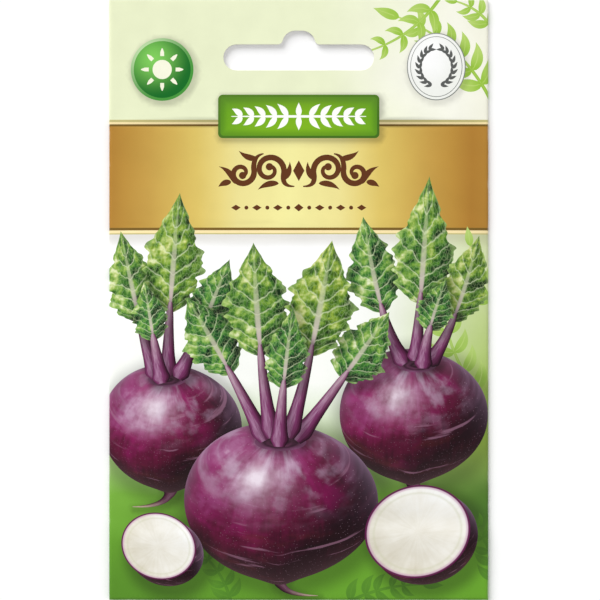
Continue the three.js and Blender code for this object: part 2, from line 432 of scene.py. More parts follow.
def panel(ink, left, right, bottom, top):
    """A rectangle; its own coordinates run from 0 to 1."""
    size = np.array((right - left, top - bottom))
    return shape(ink, np.array([(0, 0), (1, 0), (1, 1), (0, 1)]) * size, (left, bottom), size)


def rounded_panel(ink, centre, half_size, radius, **shadow):
    """A rectangle with round corners; its own coordinates reach 1 at its sides."""
    half_size = np.array(half_size)
    corners = [
        arc((half_size - radius) * signs, radius, start, start + 90, CORNER_STEPS)
        for signs, start in (((1, 1), 0), ((-1, 1), 90), ((-1, -1), 180), ((1, -1), 270))
    ]
    return shape(ink, np.concatenate(corners), centre, half_size, **shadow)


def lozenge(ink, centre, half_size):
    """A lozenge; its own coordinates reach 1 at its points."""
    return shape(ink, np.array([(1, 0), (0, 1), (-1, 0), (0, -1)]) * half_size, centre, half_size)


def disc(ink, centre, radii, tilt=0.0, swell=np.ones_like, steps=72, **shadow):
    """An oval whose own coordinates reach 1 at its outline; swell makes its radius change with angle."""
    turn = np.array([(math.cos(tilt), -math.sin(tilt)), (math.sin(tilt), math.cos(tilt))])
    radii = radii * np.ones(2)

    def place(points):
        flat = (points - centre) @ turn / radii
        return flat / swell(np.arctan2(flat[:, 1], flat[:, 0]))[:, None]

    angles = np.linspace(0, 2 * math.pi, steps, endpoint=False)
    rim = np.column_stack([np.cos(angles), np.sin(angles)]) * swell(angles)[:, None]
    return Motif(ink, (rim * radii) @ turn.T + centre, place, **shadow)


def ribbon(ink, path, half_widths, **shadow):
    """A band along a path; half_widths are spread evenly along it."""
    path = np.array(path)
    half_widths = np.interp(np.linspace(0, 1, len(path)), np.linspace(0, 1, len(half_widths)), half_widths)
    aside = left_of(path) * half_widths[:, None]
    outline = np.concatenate([path + aside, (path - aside)[::-1]])
    return Motif(ink, outline, along_and_across(path, half_widths), **shadow)


def blade(ink, midrib, half_width, fullest=0.72, edges=(1.0, 1.0), **shadow):
    """A leaf about its midrib; fullest sets where it is widest, and edges scale its two sides."""
    along = np.linspace(0, 1, len(midrib))
    pointed = BLADE_FOOT_BLUNT + BLADE_TIP_SHARPER * along
    plain = half_width * np.maximum(np.sin(math.pi * along ** fullest), 0) ** pointed + BLADE_LEAST
    left, right = (left_of(midrib) * (plain * edge)[:, None] for edge in edges)
    outline = np.concatenate([midrib + left, (midrib - right)[::-1]])
    return Motif(ink, outline, along_and_across(midrib, plain), **shadow)


def waved_edge(steps):
    """A leaf's edge as a share of its plain one: waves drawn at random, which die away before the tip."""
    along = np.linspace(0, 1, steps)
    waves = np.zeros(steps)
    for count, depth in EDGE_WAVES:
        phase = draw.uniform(0, 2 * math.pi)
        pace = count * draw.uniform(*EDGE_WAVE_PACES)
        waves += depth * np.sin(2 * math.pi * pace * along + phase)
    return 1 + waves * smooth_step(1.0, EDGE_WAVES_FADE, along)


def sprig(ink, start, end, bend, pairs, size):
    """A stem with pairs of pointed leaflets, which get smaller towards the one at its tip."""
    stem = bowed_line(start, end, bend, STEM_STEPS)
    aside = left_of(stem)
    ahead = np.column_stack([aside[:, 1], -aside[:, 0]])
    made = [ribbon(ink, stem, STEM_WIDTHS)]
    for number in range(pairs):
        stop = FIRST_PAIR + round(PAIRS_SPAN * number / pairs)
        foot = stem[stop]
        length = size * (1 - LEAFLET_SHRINK * number / pairs)
        for side in (1, -1):
            tip = foot + length * (LEAFLET_OUT * side * aside[stop] + LEAFLET_AHEAD * ahead[stop])
            leaflet = bowed_line(foot, tip, LEAFLET_BEND * side * size, LEAFLET_STEPS)
            made.append(blade(ink, leaflet, LEAFLET_WIDTH * length))
    tip = stem[-1] + TIP_LEAFLET * size * ahead[-1]
    made.append(blade(ink, bowed_line(stem[-2], tip, 0, LEAFLET_STEPS), TIP_LEAFLET_WIDTH * size))
    return made


def sprigs(ink, placed):
    """Several sprigs in one ink."""
    return [motif for place in placed for motif in sprig(ink, *place)]


# Plants, on the front and in the sowing guide

PLANT_INKS = ("root", "crown", "stalk", "leaf")
TAIL_WIDTHS = np.array((1.8, 0.9, 0.55, 0.32, 0.06))
STALK_WIDTHS = np.array((1.1, 2.0, 1.65, 1.4, 1.25, 1.1, 0.95, 0.8, 0.4))
SPINE_STEPS = 200
LEAF_START, STALK_END = 96, 112
LEAF_FULLEST = (0.66, 0.84)

# Places and sizes on a root, in shares of its radii
TAIL_FOOT = np.array((0.0, 0.98))
CROWN_LEAN, CROWN_HEIGHT = 0.5, 0.74
CROWN_RADII = np.array((0.27, 0.11))
STALK_RING = np.array((0.17, 0.06))

# The skin that shows beside the face of a cut half: its shift, and its size as a share of the face's
CUT_SKIN_SHIFT, CUT_SKIN_SIZE = (1.5, -1.3), 1.01


def root_swell(angles):
    """A root's outline: broad shoulders, and a short point at its lower end."""
    below = np.degrees(np.arctan2(np.cos(angles), -np.sin(angles)))
    point = 0.03 * np.exp(-(below / 26) ** 2) + 0.05 * np.exp(-(below / 9) ** 2)
    return 1 + 0.02 * np.cos(2 * angles + 0.4) + 0.015 * np.cos(3 * angles) + point


def plant(centre, radii, lean, tail_tip, leaves, scale=1.0):
    """A round root with its tail, stalks and leaves, from the back to the front. Each leaf gives the place
    of its stalk's foot round the crown in degrees, its stalk's end, its tip and its half width."""
    centre, radii = np.array(centre), np.array(radii)
    point = centre - radii * TAIL_FOOT
    tail = curve(point, (point[0], tail_tip[1]), tail_tip, 20)
    crown = centre + radii * (CROWN_LEAN * lean, CROWN_HEIGHT)
    made = [
        ribbon("tail", tail, TAIL_WIDTHS * scale, shadow=0.35, reach=1.5 * scale),
        disc("root", centre, radii, swell=root_swell, steps=96, shadow=0.45, reach=4.5 * scale),
        disc("crown", crown, radii * CROWN_RADII, steps=40, shadow=0.3, reach=1.8 * scale),
    ]
    leaf_shadow = {"shadow": 0.5, "reach": 2.4 * scale, "falls_on": PLANT_INKS}
    stalk_shadow = {"shadow": 0.45, "reach": 1.6 * scale, "falls_on": PLANT_INKS}
    for turn, stalk_end, tip, half_width in leaves:
        turn = math.radians(turn)
        stalk_end, tip = np.array(stalk_end, float), np.array(tip, float)
        foot = crown + radii * (STALK_RING * (math.cos(turn), math.sin(turn)))
        spine = curve(foot, 2 * stalk_end - (foot + tip) / 2, tip, SPINE_STEPS)
        midrib = spine[LEAF_START:]
        fullest = draw.uniform(*LEAF_FULLEST)
        edges = [waved_edge(len(midrib)) for _ in range(2)]
        made.append(blade("leaf", midrib, half_width, fullest, edges, **leaf_shadow))
        made.append(ribbon("stalk", spine[:STALK_END:4], STALK_WIDTHS * scale, **stalk_shadow))
    return made


def half_root(centre, radii, tilt):
    """A root cut through, its pale face to the viewer and its skin showing below."""
    centre, radii = np.array(centre), np.array(radii)
    skin = disc("root", centre + CUT_SKIN_SHIFT, CUT_SKIN_SIZE * radii, tilt, shadow=0.5, reach=3.6)
    return [skin, disc("flesh", centre, radii, tilt)]


# The front's print

# Inks of the zones across the front from the top down, each with its lower edge
BAND_TOP, BAND_BOTTOM = 36.6, 15.2
FRONT_ZONES = (
    ("header", BAND_TOP + 1.4),
    ("tan_rule", BAND_TOP + 0.9),
    ("light_rule", BAND_TOP + 0.45),
    ("dark_rule", BAND_TOP),
    ("band", BAND_BOTTOM),
    ("dark_rule", BAND_BOTTOM - 0.55),
    ("light_rule", BAND_BOTTOM - 1.15),
    ("tan_rule", BAND_BOTTOM - 1.4),
    ("picture_ground", FOOT_Y - PAST_EDGE),
)

# The marks in the header, on the plate and on the band
ROUNDEL_AT, ROUNDEL_RADIUS, ROUNDEL_RIM = (-28.8, 48.6), 6.0, 1.1
SUN_RADIUS, RAY_STOPS, RAY_HALF_WIDTH, RAY_TIP = 1.5, (2.1, 2.7, 3.3), 0.3, 0.1
FRONT_SUN_SCALE = 1.35
TAG_AT, TAG_RADII = (29.0, 49.2), np.array((6.0, 6.9))
TAG_EDGE = 0.2
TAG_LINE_FROM, TAG_LINE_TO = 0.5, 0.64
WREATH_RADIUS, WREATH_RISE = 3.6, 1.12
WREATH_ANGLES = np.radians(np.linspace(-75, 63, 9))
WREATH_LEAF, WREATH_LEAN, WREATH_LEAF_WIDTH = 1.5, 0.72, 0.3
PLATE_AT, PLATE_HALF_SIZE, PLATE_RIM = (0.0, 38.7), np.array((17.0, 4.6)), 0.5
PLATE_CORNER, PLATE_INNER_CORNER = 1.0, 0.7
SPRAY_HALF_LENGTH, SPRAY_PITCH = 14.2, 2.4
SPRAY_WIDTHS = (0.08, 0.26, 0.26, 0.08)
SPRAY_LEAVES = 5
SPRAY_LEAF_OUT, SPRAY_LEAF_RISE, SPRAY_LEAF_FALL = 2.1, 2.9, 0.26
SPRAY_LEAF_BEND, SPRAY_LEAF_WIDTH = 0.25, 0.6

# The ornament's right half, about its middle: curls, each with its tail, knee, centre, radius, first angle
# and turns, and leaves, each with its foot, tip and bend
ORNAMENT_AT = np.array((0, 27.2))
ORNAMENT_CURLS = (
    ((0.9, -3.3), (3.6, -3.4), (6.2, 0.2), 3.2, 200, -1.3),
    ((7.4, 3.6), (9.6, 3.2), (12.0, -0.5), 2.7, 160, 1.25),
)
CURL_WIDTHS = (0.12, 0.5, 0.62, 0.6, 0.5, 0.42, 0.36)
CURL_EYE = 0.78
ORNAMENT_LEAVES = (
    ((3.3, -1.9), (1.9, 1.9), 0.5),
    ((8.6, 2.6), (12.6, 4.2), -0.5),
    ((4.2, -2.7), (8.6, -4.0), 0.5),
    ((13.4, -2.8), (16.8, 0.9), 0.7),
    ((14.2, -2.4), (16.9, -3.4), 0.3),
)
ORNAMENT_LEAF_WIDTH = 0.62
LOZENGE_HALF_SIZE = (1.2, 2.2)

# The rule of dots and lozenges under the ornament
SMALL_RULE_Y, SMALL_RULE_PITCH = 19.4, 2.2
RULE_DOT = 0.42
RULE_MIDDLE_LOZENGE, RULE_LOZENGE = (1.0, 0.8), (1.0, 0.62)

# Sprigs, each from a start to an end, with its bend, its pairs of leaflets and their length
HEADER_SPRIGS = (
    ((41, 41), (20, 60), -3.0, 6, 6.5),
    ((30, 64), (13, 52), 2.0, 4, 5.0),
    ((41, 57), (33, 63), -1.0, 3, 4.5),
)
FIELD_SPRIGS = (
    ((41, -24), (30, 10), 4.0, 6, 6.5),
    ((42, -2), (36, 12), 1.0, 3, 5.0),
)
GROUND_SPRIGS = (
    ((8, -65), (27, -60), 1.5, 5, 5.0),
    ((42, -62), (34, -44), -2.0, 5, 5.0),
    ((-14, -65), (-22, -52), -1.5, 4, 4.5),
)

# Plants from the back to the front: a root's middle, radii and lean, the tip of its tail, and its leaves
LEFT_PLANT = ((-27, -26.5), (14.6, 13.2), -0.1, (-35, -43.5), (
    (150, (-33.5, -4), (-37.5, 14.5), 5.2),
    (80, (-27, -2), (-25, 22.5), 6.0),
    (20, (-20.5, -6), (-14.5, 8.5), 4.6),
    (250, (-30.5, -8), (-32.5, 4), 3.6),
))
RIGHT_PLANT = ((24, -24), (15.4, 14.0), 0.1, (33, -43), (
    (160, (17.5, -2), (13.5, 17.5), 5.4),
    (95, (25.5, 0), (27.5, 26), 6.2),
    (25, (32.5, -4), (38.0, 13.5), 4.8),
    (300, (27.5, -6), (31, 4.5), 3.6),
))
FRONT_PLANT = ((-4, -42.2), (20.0, 16.8), 0.02, (4, -62.3), (
    (165, (-14.5, -15), (-23.5, 0.5), 5.6),
    (15, (9.5, -16), (19, -2.5), 5.4),
    (120, (-8, -11), (-9.5, 12), 6.6),
    (60, (2.5, -11), (7, 12.5), 6.8),
    (265, (-3.2, -18), (-1.2, -1.5), 4.4),
))

# Cut halves of roots, each with its middle, radii and tilt
CUT_ROOTS = (((25.0, -48.7), (11.2, 9.8), 0.25), ((-29.5, -51.8), (8.0, 7.0), -0.35))


def front_zones():
    """The zones across the whole front, from the top down."""
    side = HALF_WIDTH + PAST_EDGE
    top = TOP_Y + PAST_EDGE
    made = []
    for ink, bottom in FRONT_ZONES:
        made.append(panel(ink, -side, side, bottom, top))
        top = bottom
    return made


def roundel(spot, radius):
    """A round green ground for a sign."""
    rim = disc("roundel_rim", spot, ROUNDEL_RIM * radius, shadow=0.35, reach=0.23 * radius)
    return [rim, disc("roundel", spot, radius)]


def sun_sign(spot, scale=1.0):
    """A sun with eight rays."""
    made = [disc("cream_mark", spot, SUN_RADIUS * scale, steps=36)]
    for angle in np.radians(np.arange(0, 360, 45)):
        ray = scale * np.array((math.cos(angle), math.sin(angle)))
        half_width = RAY_HALF_WIDTH * scale
        made.append(ribbon("cream_mark", spot + np.outer(RAY_STOPS, ray), (half_width, half_width, RAY_TIP)))
    return made


def wreath(centre, radius):
    """Pairs of leaves up both sides of a ring."""
    made = []
    for side in (1, -1):
        for angle in WREATH_ANGLES:
            out = np.array((math.cos(angle), math.sin(angle)))
            ahead = np.array((-math.sin(angle), math.cos(angle)))
            foot = radius * out * (1, WREATH_RISE)
            for lean in (WREATH_LEAN, -WREATH_LEAN):
                tip = foot + WREATH_LEAF * ahead + lean * out
                leaf = bowed_line(foot * (side, 1) + centre, tip * (side, 1) + centre, 0, 8)
                made.append(blade("grey_mark", leaf, WREATH_LEAF_WIDTH))
    return made


def header_marks():
    """Sprigs in the upper right corner, a round sun sign and an oval tag with a wreath."""
    made = sprigs("pale_sprig", HEADER_SPRIGS)
    made += roundel(ROUNDEL_AT, ROUNDEL_RADIUS) + sun_sign(ROUNDEL_AT, FRONT_SUN_SCALE)
    made.append(disc("tag_rim", TAG_AT, TAG_RADII + TAG_EDGE, shadow=0.22, reach=1.2))
    for ink, inset in (("tag", 0.0), ("tag_rim", TAG_LINE_FROM), ("tag", TAG_LINE_TO)):
        made.append(disc(ink, TAG_AT, TAG_RADII - inset))
    return made + wreath(TAG_AT, WREATH_RADIUS)


def plate_marks():
    """A green plate over the band's upper edge, with leaves that spread from its middle to both ends."""
    end = np.array((SPRAY_HALF_LENGTH, 0))
    stem = bowed_line(PLATE_AT - end, PLATE_AT + end, 0, 30)
    made = [
        rounded_panel("plate_rim", PLATE_AT, PLATE_HALF_SIZE, PLATE_CORNER, shadow=0.4, reach=1.3),
        rounded_panel("plate", PLATE_AT, PLATE_HALF_SIZE - PLATE_RIM, PLATE_INNER_CORNER),
        ribbon("white_mark", stem, SPRAY_WIDTHS),
    ]
    for number in range(-SPRAY_LEAVES, SPRAY_LEAVES + 1):
        foot = np.array(PLATE_AT) + (SPRAY_PITCH * number, 0)
        lean = np.sign(number)
        rise = SPRAY_LEAF_RISE - SPRAY_LEAF_FALL * abs(number)
        for side in (1, -1):
            tip = foot + (SPRAY_LEAF_OUT * lean, rise * side)
            leaf = bowed_line(foot, tip, SPRAY_LEAF_BEND * side * lean, 14)
            made.append(blade("white_mark", leaf, SPRAY_LEAF_WIDTH))
    return made


def ornament():
    """A traditional scroll ornament, the same on both sides of a lozenge, over a rule of small marks."""
    made = [
        lozenge("brown_mark", ORNAMENT_AT, LOZENGE_HALF_SIZE),
        lozenge("brown_mark", (0, SMALL_RULE_Y), RULE_MIDDLE_LOZENGE),
    ]
    for side in (1, -1):
        for curl in ORNAMENT_CURLS:
            path = (volute(*curl) + ORNAMENT_AT) * (side, 1)
            made.append(ribbon("brown_mark", path, CURL_WIDTHS))
            made.append(disc("brown_mark", path[-1], CURL_EYE, steps=20))
        for foot, tip, bend in ORNAMENT_LEAVES:
            foot, tip = ((end + ORNAMENT_AT) * (side, 1) for end in (foot, tip))
            made.append(blade("brown_mark", bowed_line(foot, tip, bend * side, 14), ORNAMENT_LEAF_WIDTH))
        for number in (1, 3, 5):
            dot_x, lozenge_x = SMALL_RULE_PITCH * side * np.array((number, number + 1))
            made.append(disc("brown_mark", (dot_x, SMALL_RULE_Y), RULE_DOT, steps=16))
            made.append(lozenge("brown_mark", (lozenge_x, SMALL_RULE_Y), RULE_LOZENGE))
    return made


def picture():
    """Three plants and two cut halves of roots, before sprigs."""
    made = sprigs("field_sprig", FIELD_SPRIGS) + sprigs("ground_sprig", GROUND_SPRIGS)
    for placed in (LEFT_PLANT, RIGHT_PLANT, FRONT_PLANT):
        made += plant(*placed)
    for placed in CUT_ROOTS:
        made += half_root(*placed)
    return made


def front_motifs():
    """All that is printed on the front, each shape over those before it."""
    return front_zones() + header_marks() + plate_marks() + ornament() + picture()


# The back's print, which reads towards -X

BACK_BAND_BOTTOM, BACK_BAND_TOP, BACK_RULE = 36.4, 42.2, 0.4
BOX_HALF_WIDTH, BOX_RIM = 34.0, 0.3
CALENDAR_BOTTOM, CALENDAR_TOP = 14.5, 30.5
CALENDAR_ROWS = ((25.4, 30.0), (20.3, 25.2), (15.0, 20.1))
MONTHS, MONTH_WIDTH, MONTH_GAP = 12, 5.6, 0.1
SOWING_BAR, HARVEST_BAR = (22.2, 5.7), (-0.2, -27.8)
BAR_INSET = 1.1
SIGNS_Y, SIGN_RADIUS, SIGN_PITCH = 4.0, 5.1, 18.0
GUIDE_BOX_BOTTOM, GUIDE_BOX_TOP = -43.5, -6.5
GUIDE_BOTTOM, GUIDE_TOP = -40.6, -9.4
GUIDE_X = (22.4, 0.0, -22.4)
GUIDE_HALF_WIDTH, GUIDE_RIM = 9.6, 0.25
SOIL_Y = -27.0

# Waves of the soil's top, each with its height, pace and shift
SOIL_WAVES = ((0.3, 1.1, 1.0), (0.18, 2.9, 0.5))

# The sown seed and the measure beside it
SEED_DEPTH, MEASURE_OFFSET = 5.2, 4.4
HOLLOW_RADII, SOWN_SEED_RADII = (2.1, 1.9), (1.6, 1.45)
MEASURE_LINE, MEASURE_GAP, MEASURE_ENDS = 0.16, 0.4, (1.2, 0.1)
HEAD_LENGTH, HEAD_HALF_WIDTH, HEAD_OVERLAP = 1.2, 0.75, 0.9

# The seedling, from its foot: roots with their ends and bends, its stem and its seed leaves
SEEDLING_ROOTS = (((-2.6, -5.4), 0.5), ((2.3, -6.0), -0.5), ((0.2, -8.2), 0.4))
ROOTS_FROM, ROOT_WIDTHS = (0, 0.6), (0.3, 0.2, 0.08)
STEM_FROM, STEM_TO, YOUNG_STEM_WIDTHS = (0, 1.2), (0, 6.4), (0.45, 0.4, 0.3)
SEED_LEAF_FROM, SEED_LEAF_TO, SEED_LEAF_BEND, SEED_LEAF_WIDTH = (0, 6.0), (5.6, 9.6), 0.9, 1.7

# The grown plant, from its foot; its leaves are given as a plant takes them
GROWN_ROOT_RADII, GROWN_ROOT_SUNK, GROWN_TAIL_TIP, GROWN_SCALE = (5.6, 5.0), (0, 2.0), (2.4, -9.6), 0.36
GROWN_LEAVES = (
    (150, (-2.8, 6.0), (-5.6, 13.0), 2.2),
    (30, (2.9, 6.0), (5.9, 12.4), 2.2),
    (95, (0.1, 7.4), (0.4, 16.0), 2.5),
    (265, (0.9, 5.2), (1.7, 10.4), 1.7),
)
ARROWS_Y, ARROW_OUTLINE = -23.0, ((0.75, -1.5), (-0.85, 0.0), (0.75, 1.5))


def drop_sign(spot):
    """A drop of water."""
    angles = np.linspace(0, 2 * math.pi, 40, endpoint=False)
    half_widths = 2.0 * np.sqrt(np.clip((1 - np.sin(angles)) / 2, 0, 1))
    outline = np.column_stack([half_widths * np.cos(angles), 2.9 * np.sin(angles)])
    return [shape("cream_mark", outline, spot)]


def shoot_sign(spot):
    """A shoot with two leaves."""
    made = [ribbon("cream_mark", bowed_line(spot + (0, -3.0), spot + (0, 0.6), 0.2, 8), (0.4, 0.3))]
    for side in (1, -1):
        leaf = bowed_line(spot + (0, 0.2), spot + (2.9 * side, 2.2), 0.6 * side, 16)
        made.append(blade("cream_mark", leaf, 0.95))
    return made


def spacing_sign(spot):
    """Three seeds over a measure of the room between them."""
    made = [ribbon("cream_mark", spot + [(-3.2, -1.6), (3.2, -1.6)], (0.22, 0.22))]
    for x in (-2.4, 0.0, 2.4):
        made.append(disc("cream_mark", spot + (x, 0.5), 0.85, steps=20))
        made.append(ribbon("cream_mark", spot + [(x, -2.3), (x, -0.9)], (0.2, 0.2)))
    return made


def wide_box(ink, bottom, top, radius, inset=0.0):
    """A box with round corners, as wide as the calendar and the guide."""
    half_size = np.array((BOX_HALF_WIDTH, (top - bottom) / 2)) - inset
    return rounded_panel(ink, (0, (bottom + top) / 2), half_size, radius)


def calendar():
    """A calendar of twelve months over a green bar for sowing and a golden one for the harvest."""
    made = [wide_box("box_rim", CALENDAR_BOTTOM, CALENDAR_TOP, 0.8)]
    for number in range(MONTHS):
        left = (number - MONTHS / 2) * MONTH_WIDTH + MONTH_GAP
        right = left + MONTH_WIDTH - 2 * MONTH_GAP
        month_ink = "month_pale" if number % 2 else "month_green"
        for ink, (bottom, top) in zip((month_ink, "box", "box"), CALENDAR_ROWS):
            made.append(panel(ink, left, right, bottom, top))
    bars = (("plate_rim", SOWING_BAR), ("band", HARVEST_BAR))
    for (ink, (start, end)), (bottom, top) in zip(bars, CALENDAR_ROWS[1:]):
        made.append(panel(ink, end, start, bottom + BAR_INSET, top - BAR_INSET))
    return made


def soil_bed(x):
    """A bed of soil across a picture of the guide, with an uneven top."""
    across = np.linspace(-GUIDE_HALF_WIDTH, GUIDE_HALF_WIDTH, 60)
    depth = SOIL_Y - GUIDE_BOTTOM
    waves = sum(height * np.sin(pace * across + shift * x) for height, pace, shift in SOIL_WAVES)
    corners = [(GUIDE_HALF_WIDTH, -depth), (-GUIDE_HALF_WIDTH, -depth)]
    return shape("soil", np.concatenate([np.column_stack([across, waves]), corners]), (x, SOIL_Y), depth)


def sown_seed(x):
    """A seed in its bed, with a measure of how deep it lies."""
    seed_y = SOIL_Y - SEED_DEPTH
    measure_x = x + MEASURE_OFFSET
    line = [(measure_x, SOIL_Y - HEAD_OVERLAP), (measure_x, seed_y + HEAD_OVERLAP)]
    made = [
        disc("seed_hollow", (x, seed_y), HOLLOW_RADII, steps=36),
        disc("seed_mark", (x, seed_y), SOWN_SEED_RADII, steps=36, shadow=0.4, reach=0.8),
        ribbon("cream_mark", line, (MEASURE_LINE, MEASURE_LINE)),
    ]
    half_length, half_height = MEASURE_ENDS
    for end_y, up in ((SOIL_Y - MEASURE_GAP, 1), (seed_y + MEASURE_GAP, -1)):
        base_y = -HEAD_LENGTH * up
        head = [(-HEAD_HALF_WIDTH, base_y), (HEAD_HALF_WIDTH, base_y), (0, 0)]
        left, right = measure_x - half_length, measure_x + half_length
        made.append(shape("cream_mark", head, (measure_x, end_y)))
        made.append(panel("cream_mark", left, right, end_y - half_height, end_y + half_height))
    return made


def seedling(x):
    """A seedling with two seed leaves and its first roots."""
    foot = np.array((x, SOIL_Y))
    made = []
    for end, bend in SEEDLING_ROOTS:
        root = bowed_line(foot - ROOTS_FROM, foot + end, bend, 16)
        made.append(ribbon("cream_mark", root, ROOT_WIDTHS))
    stem = bowed_line(foot - STEM_FROM, foot + STEM_TO, 0.35, 20)
    made.append(ribbon("young_leaf", stem, YOUNG_STEM_WIDTHS))
    leaf_shadow = {"shadow": 0.25, "reach": 0.8, "falls_on": ("young_leaf",)}
    for side in (1, -1):
        tip = foot + np.array(SEED_LEAF_TO) * (side, 1)
        leaf = bowed_line(foot + SEED_LEAF_FROM, tip, SEED_LEAF_BEND * side, 24)
        made.append(blade("young_leaf", leaf, SEED_LEAF_WIDTH, **leaf_shadow))
    return made


def grown_plant(x):
    """A plant with its root half in the soil."""
    foot = np.array((x, SOIL_Y))
    leaves = [(turn, foot + end, foot + tip, half_width) for turn, end, tip, half_width in GROWN_LEAVES]
    return plant(foot - GROWN_ROOT_SUNK, GROWN_ROOT_RADII, 0.0, foot + GROWN_TAIL_TIP, leaves, GROWN_SCALE)


def sowing_guide():
    """Three pictures cut through the soil, from the seed to the grown plant, with arrows between."""
    made = [
        wide_box("box_rim", GUIDE_BOX_BOTTOM, GUIDE_BOX_TOP, 1.4),
        wide_box("box", GUIDE_BOX_BOTTOM, GUIDE_BOX_TOP, 1.2, BOX_RIM),
    ]
    middle_y = (GUIDE_BOTTOM + GUIDE_TOP) / 2
    half_size = np.array((GUIDE_HALF_WIDTH, (GUIDE_TOP - GUIDE_BOTTOM) / 2))
    for x, growth in zip(GUIDE_X, (sown_seed, seedling, grown_plant)):
        made.append(rounded_panel("box_rim", (x, middle_y), half_size + GUIDE_RIM, 0.5))
        made.append(panel("guide_sky", x - GUIDE_HALF_WIDTH, x + GUIDE_HALF_WIDTH, GUIDE_BOTTOM, GUIDE_TOP))
        made.append(soil_bed(x))
        made += growth(x)
    for x in (np.array(GUIDE_X[:-1]) + GUIDE_X[1:]) / 2:
        made.append(shape("plate_rim", ARROW_OUTLINE, (x, ARROWS_Y)))
    return made


def back_motifs(front):
    """The back's own print, inside a margin where the front's print runs on round the folds."""
    inside = HALF_WIDTH - BLEED
    made = [motif for motif in front if np.abs(motif.outline[:, 0]).max() > inside]
    made.append(panel("back_paper", -inside, inside, FOOT_Y + BLEED, TOP_Y + PAST_EDGE))
    made.append(panel("dark_rule", -inside, inside, BACK_BAND_BOTTOM - BACK_RULE, BACK_BAND_TOP + BACK_RULE))
    made.append(panel("band", -inside, inside, BACK_BAND_BOTTOM, BACK_BAND_TOP))
    made += calendar()
    for number, sign in enumerate((sun_sign, drop_sign, shoot_sign, spacing_sign)):
        spot = np.array(((number - 1.5) * SIGN_PITCH, SIGNS_Y))
        made += roundel(spot, SIGN_RADIUS) + sign(spot)
    made += sowing_guide()
    made.append(shape("back_flap", flap_outline()[1:-1]))
    return made


# Meshes


def fold_lines():
    """Lines just inside the folded outline, so that the folds are round."""
    lines = []
    for share in FOLD_SHARES:
        x, y = HALF_WIDTH - FOLD_RADIUS * share, FOOT_Y + FOLD_RADIUS * share
        corners = [(-x, TOP_Y), (-x, y), (x, y), (x, TOP_Y)]
        sides = []
        for start, end, steps in zip(corners, corners[1:], (SIDE_STEPS, FOOT_STEPS, SIDE_STEPS)):
            sides.append(np.linspace(start, end, steps + 1)[:-1])
        lines.append(np.concatenate(sides + [corners[-1:]]))
    return lines


def plan_sheet(motifs, lines):
    """A sheet laid flat and split into triangles along its print: its points, its triangles, and the
    number of the topmost motif at each."""
    border = np.array([(-1, 0), (1, 0), (1, 1), (-1, 1)]) * (HALF_WIDTH, TOP_Y - FOOT_Y) + (0, FOOT_Y)
    slot = slot_outline()
    outlines = [border] + [motif.outline for motif in motifs] + [slot]
    points = staggered_points(border[0] + FOLD_MARGIN, border[2] - FOLD_MARGIN, PRINT_PITCH)
    clear = ~inside_outline(slot, points)
    for outline in outlines:
        near = np.flatnonzero(near_box(points, outline, CLEAR_OF_LINES) & clear)
        clear[near] = distance_to(outline, points[near]) > CLEAR_OF_LINES
    places, triangles, owners = triangulate(points[clear], outlines, lines)
    kept = [0 in owned and len(motifs) + 1 not in owned for owned in owners]
    top = np.array([max(owned) - 1 for owned, keep in zip(owners, kept) if keep])
    used, triangles = np.unique(triangles[kept], return_inverse=True)
    return places[used], triangles.reshape(-1, 3), top


def wall_faces(triangles, inner_of):
    """Faces across the sheet's cut edges, from its printed face to its inner one."""
    edges = np.concatenate([triangles[:, (0, 1)], triangles[:, (1, 2)], triangles[:, (2, 0)]])
    known = set(map(tuple, edges.tolist()))
    walls = []
    for start, end in edges.tolist():
        if (end, start) in known:
            continue
        wall = list(dict.fromkeys([end, start, int(inner_of[start]), int(inner_of[end])]))
        if len(wall) > 2:
            walls.append(wall)
    return walls


def printed_places(motifs, printed, top, places):
    """For each corner of the printed faces, its place in its own motif and the light left there."""
    corners = np.zeros((len(printed), 3, 3))
    for number, motif in enumerate(motifs):
        mine = np.flatnonzero(top == number)
        if not len(mine):
            continue
        used, corner_of = np.unique(printed[mine], return_inverse=True)
        points = places[used]
        light = np.ones(len(points))
        for above in motifs[number + 1:]:
            if above.shades(motif.ink):
                light *= above.light_left(points)
        values = np.column_stack([motif.place(points), light])
        corners[mine] = values[corner_of.reshape(-1, 3)]
    return corners.reshape(-1, 3)


def keep_print(mesh, motifs, printed, top, places):
    """Keeps what the inks need on the mesh: the corners' places and light, and the faces' tones."""
    corners = np.zeros((len(mesh.loops), 3))
    corners[: printed.size] = printed_places(motifs, printed, top, places)
    mesh.attributes.new("print", "FLOAT_VECTOR", "CORNER").data.foreach_set("vector", corners.ravel())
    tones = np.ones(len(mesh.polygons))
    tones[: len(top)] = top * GOLDEN_SHARE % 1
    mesh.attributes.new("tone", "FLOAT", "FACE").data.foreach_set("value", tones)


def ink_faces(mesh, motifs, top, inks):
    """Gives the printed faces the inks of their motifs, and the lining and the cut edges bare paper."""
    slots = list(dict.fromkeys(motif.ink for motif in motifs)) + ["bare_paper", "cut_edge"]
    for slot in slots:
        mesh.materials.append(inks[slot])
    motif_slots = np.array([slots.index(motif.ink) for motif in motifs])
    numbers = np.full(len(mesh.polygons), slots.index("cut_edge"))
    numbers[: 2 * len(top)] = slots.index("bare_paper")
    numbers[: len(top)] = motif_slots[top]
    mesh.polygons.foreach_set("material_index", numbers)


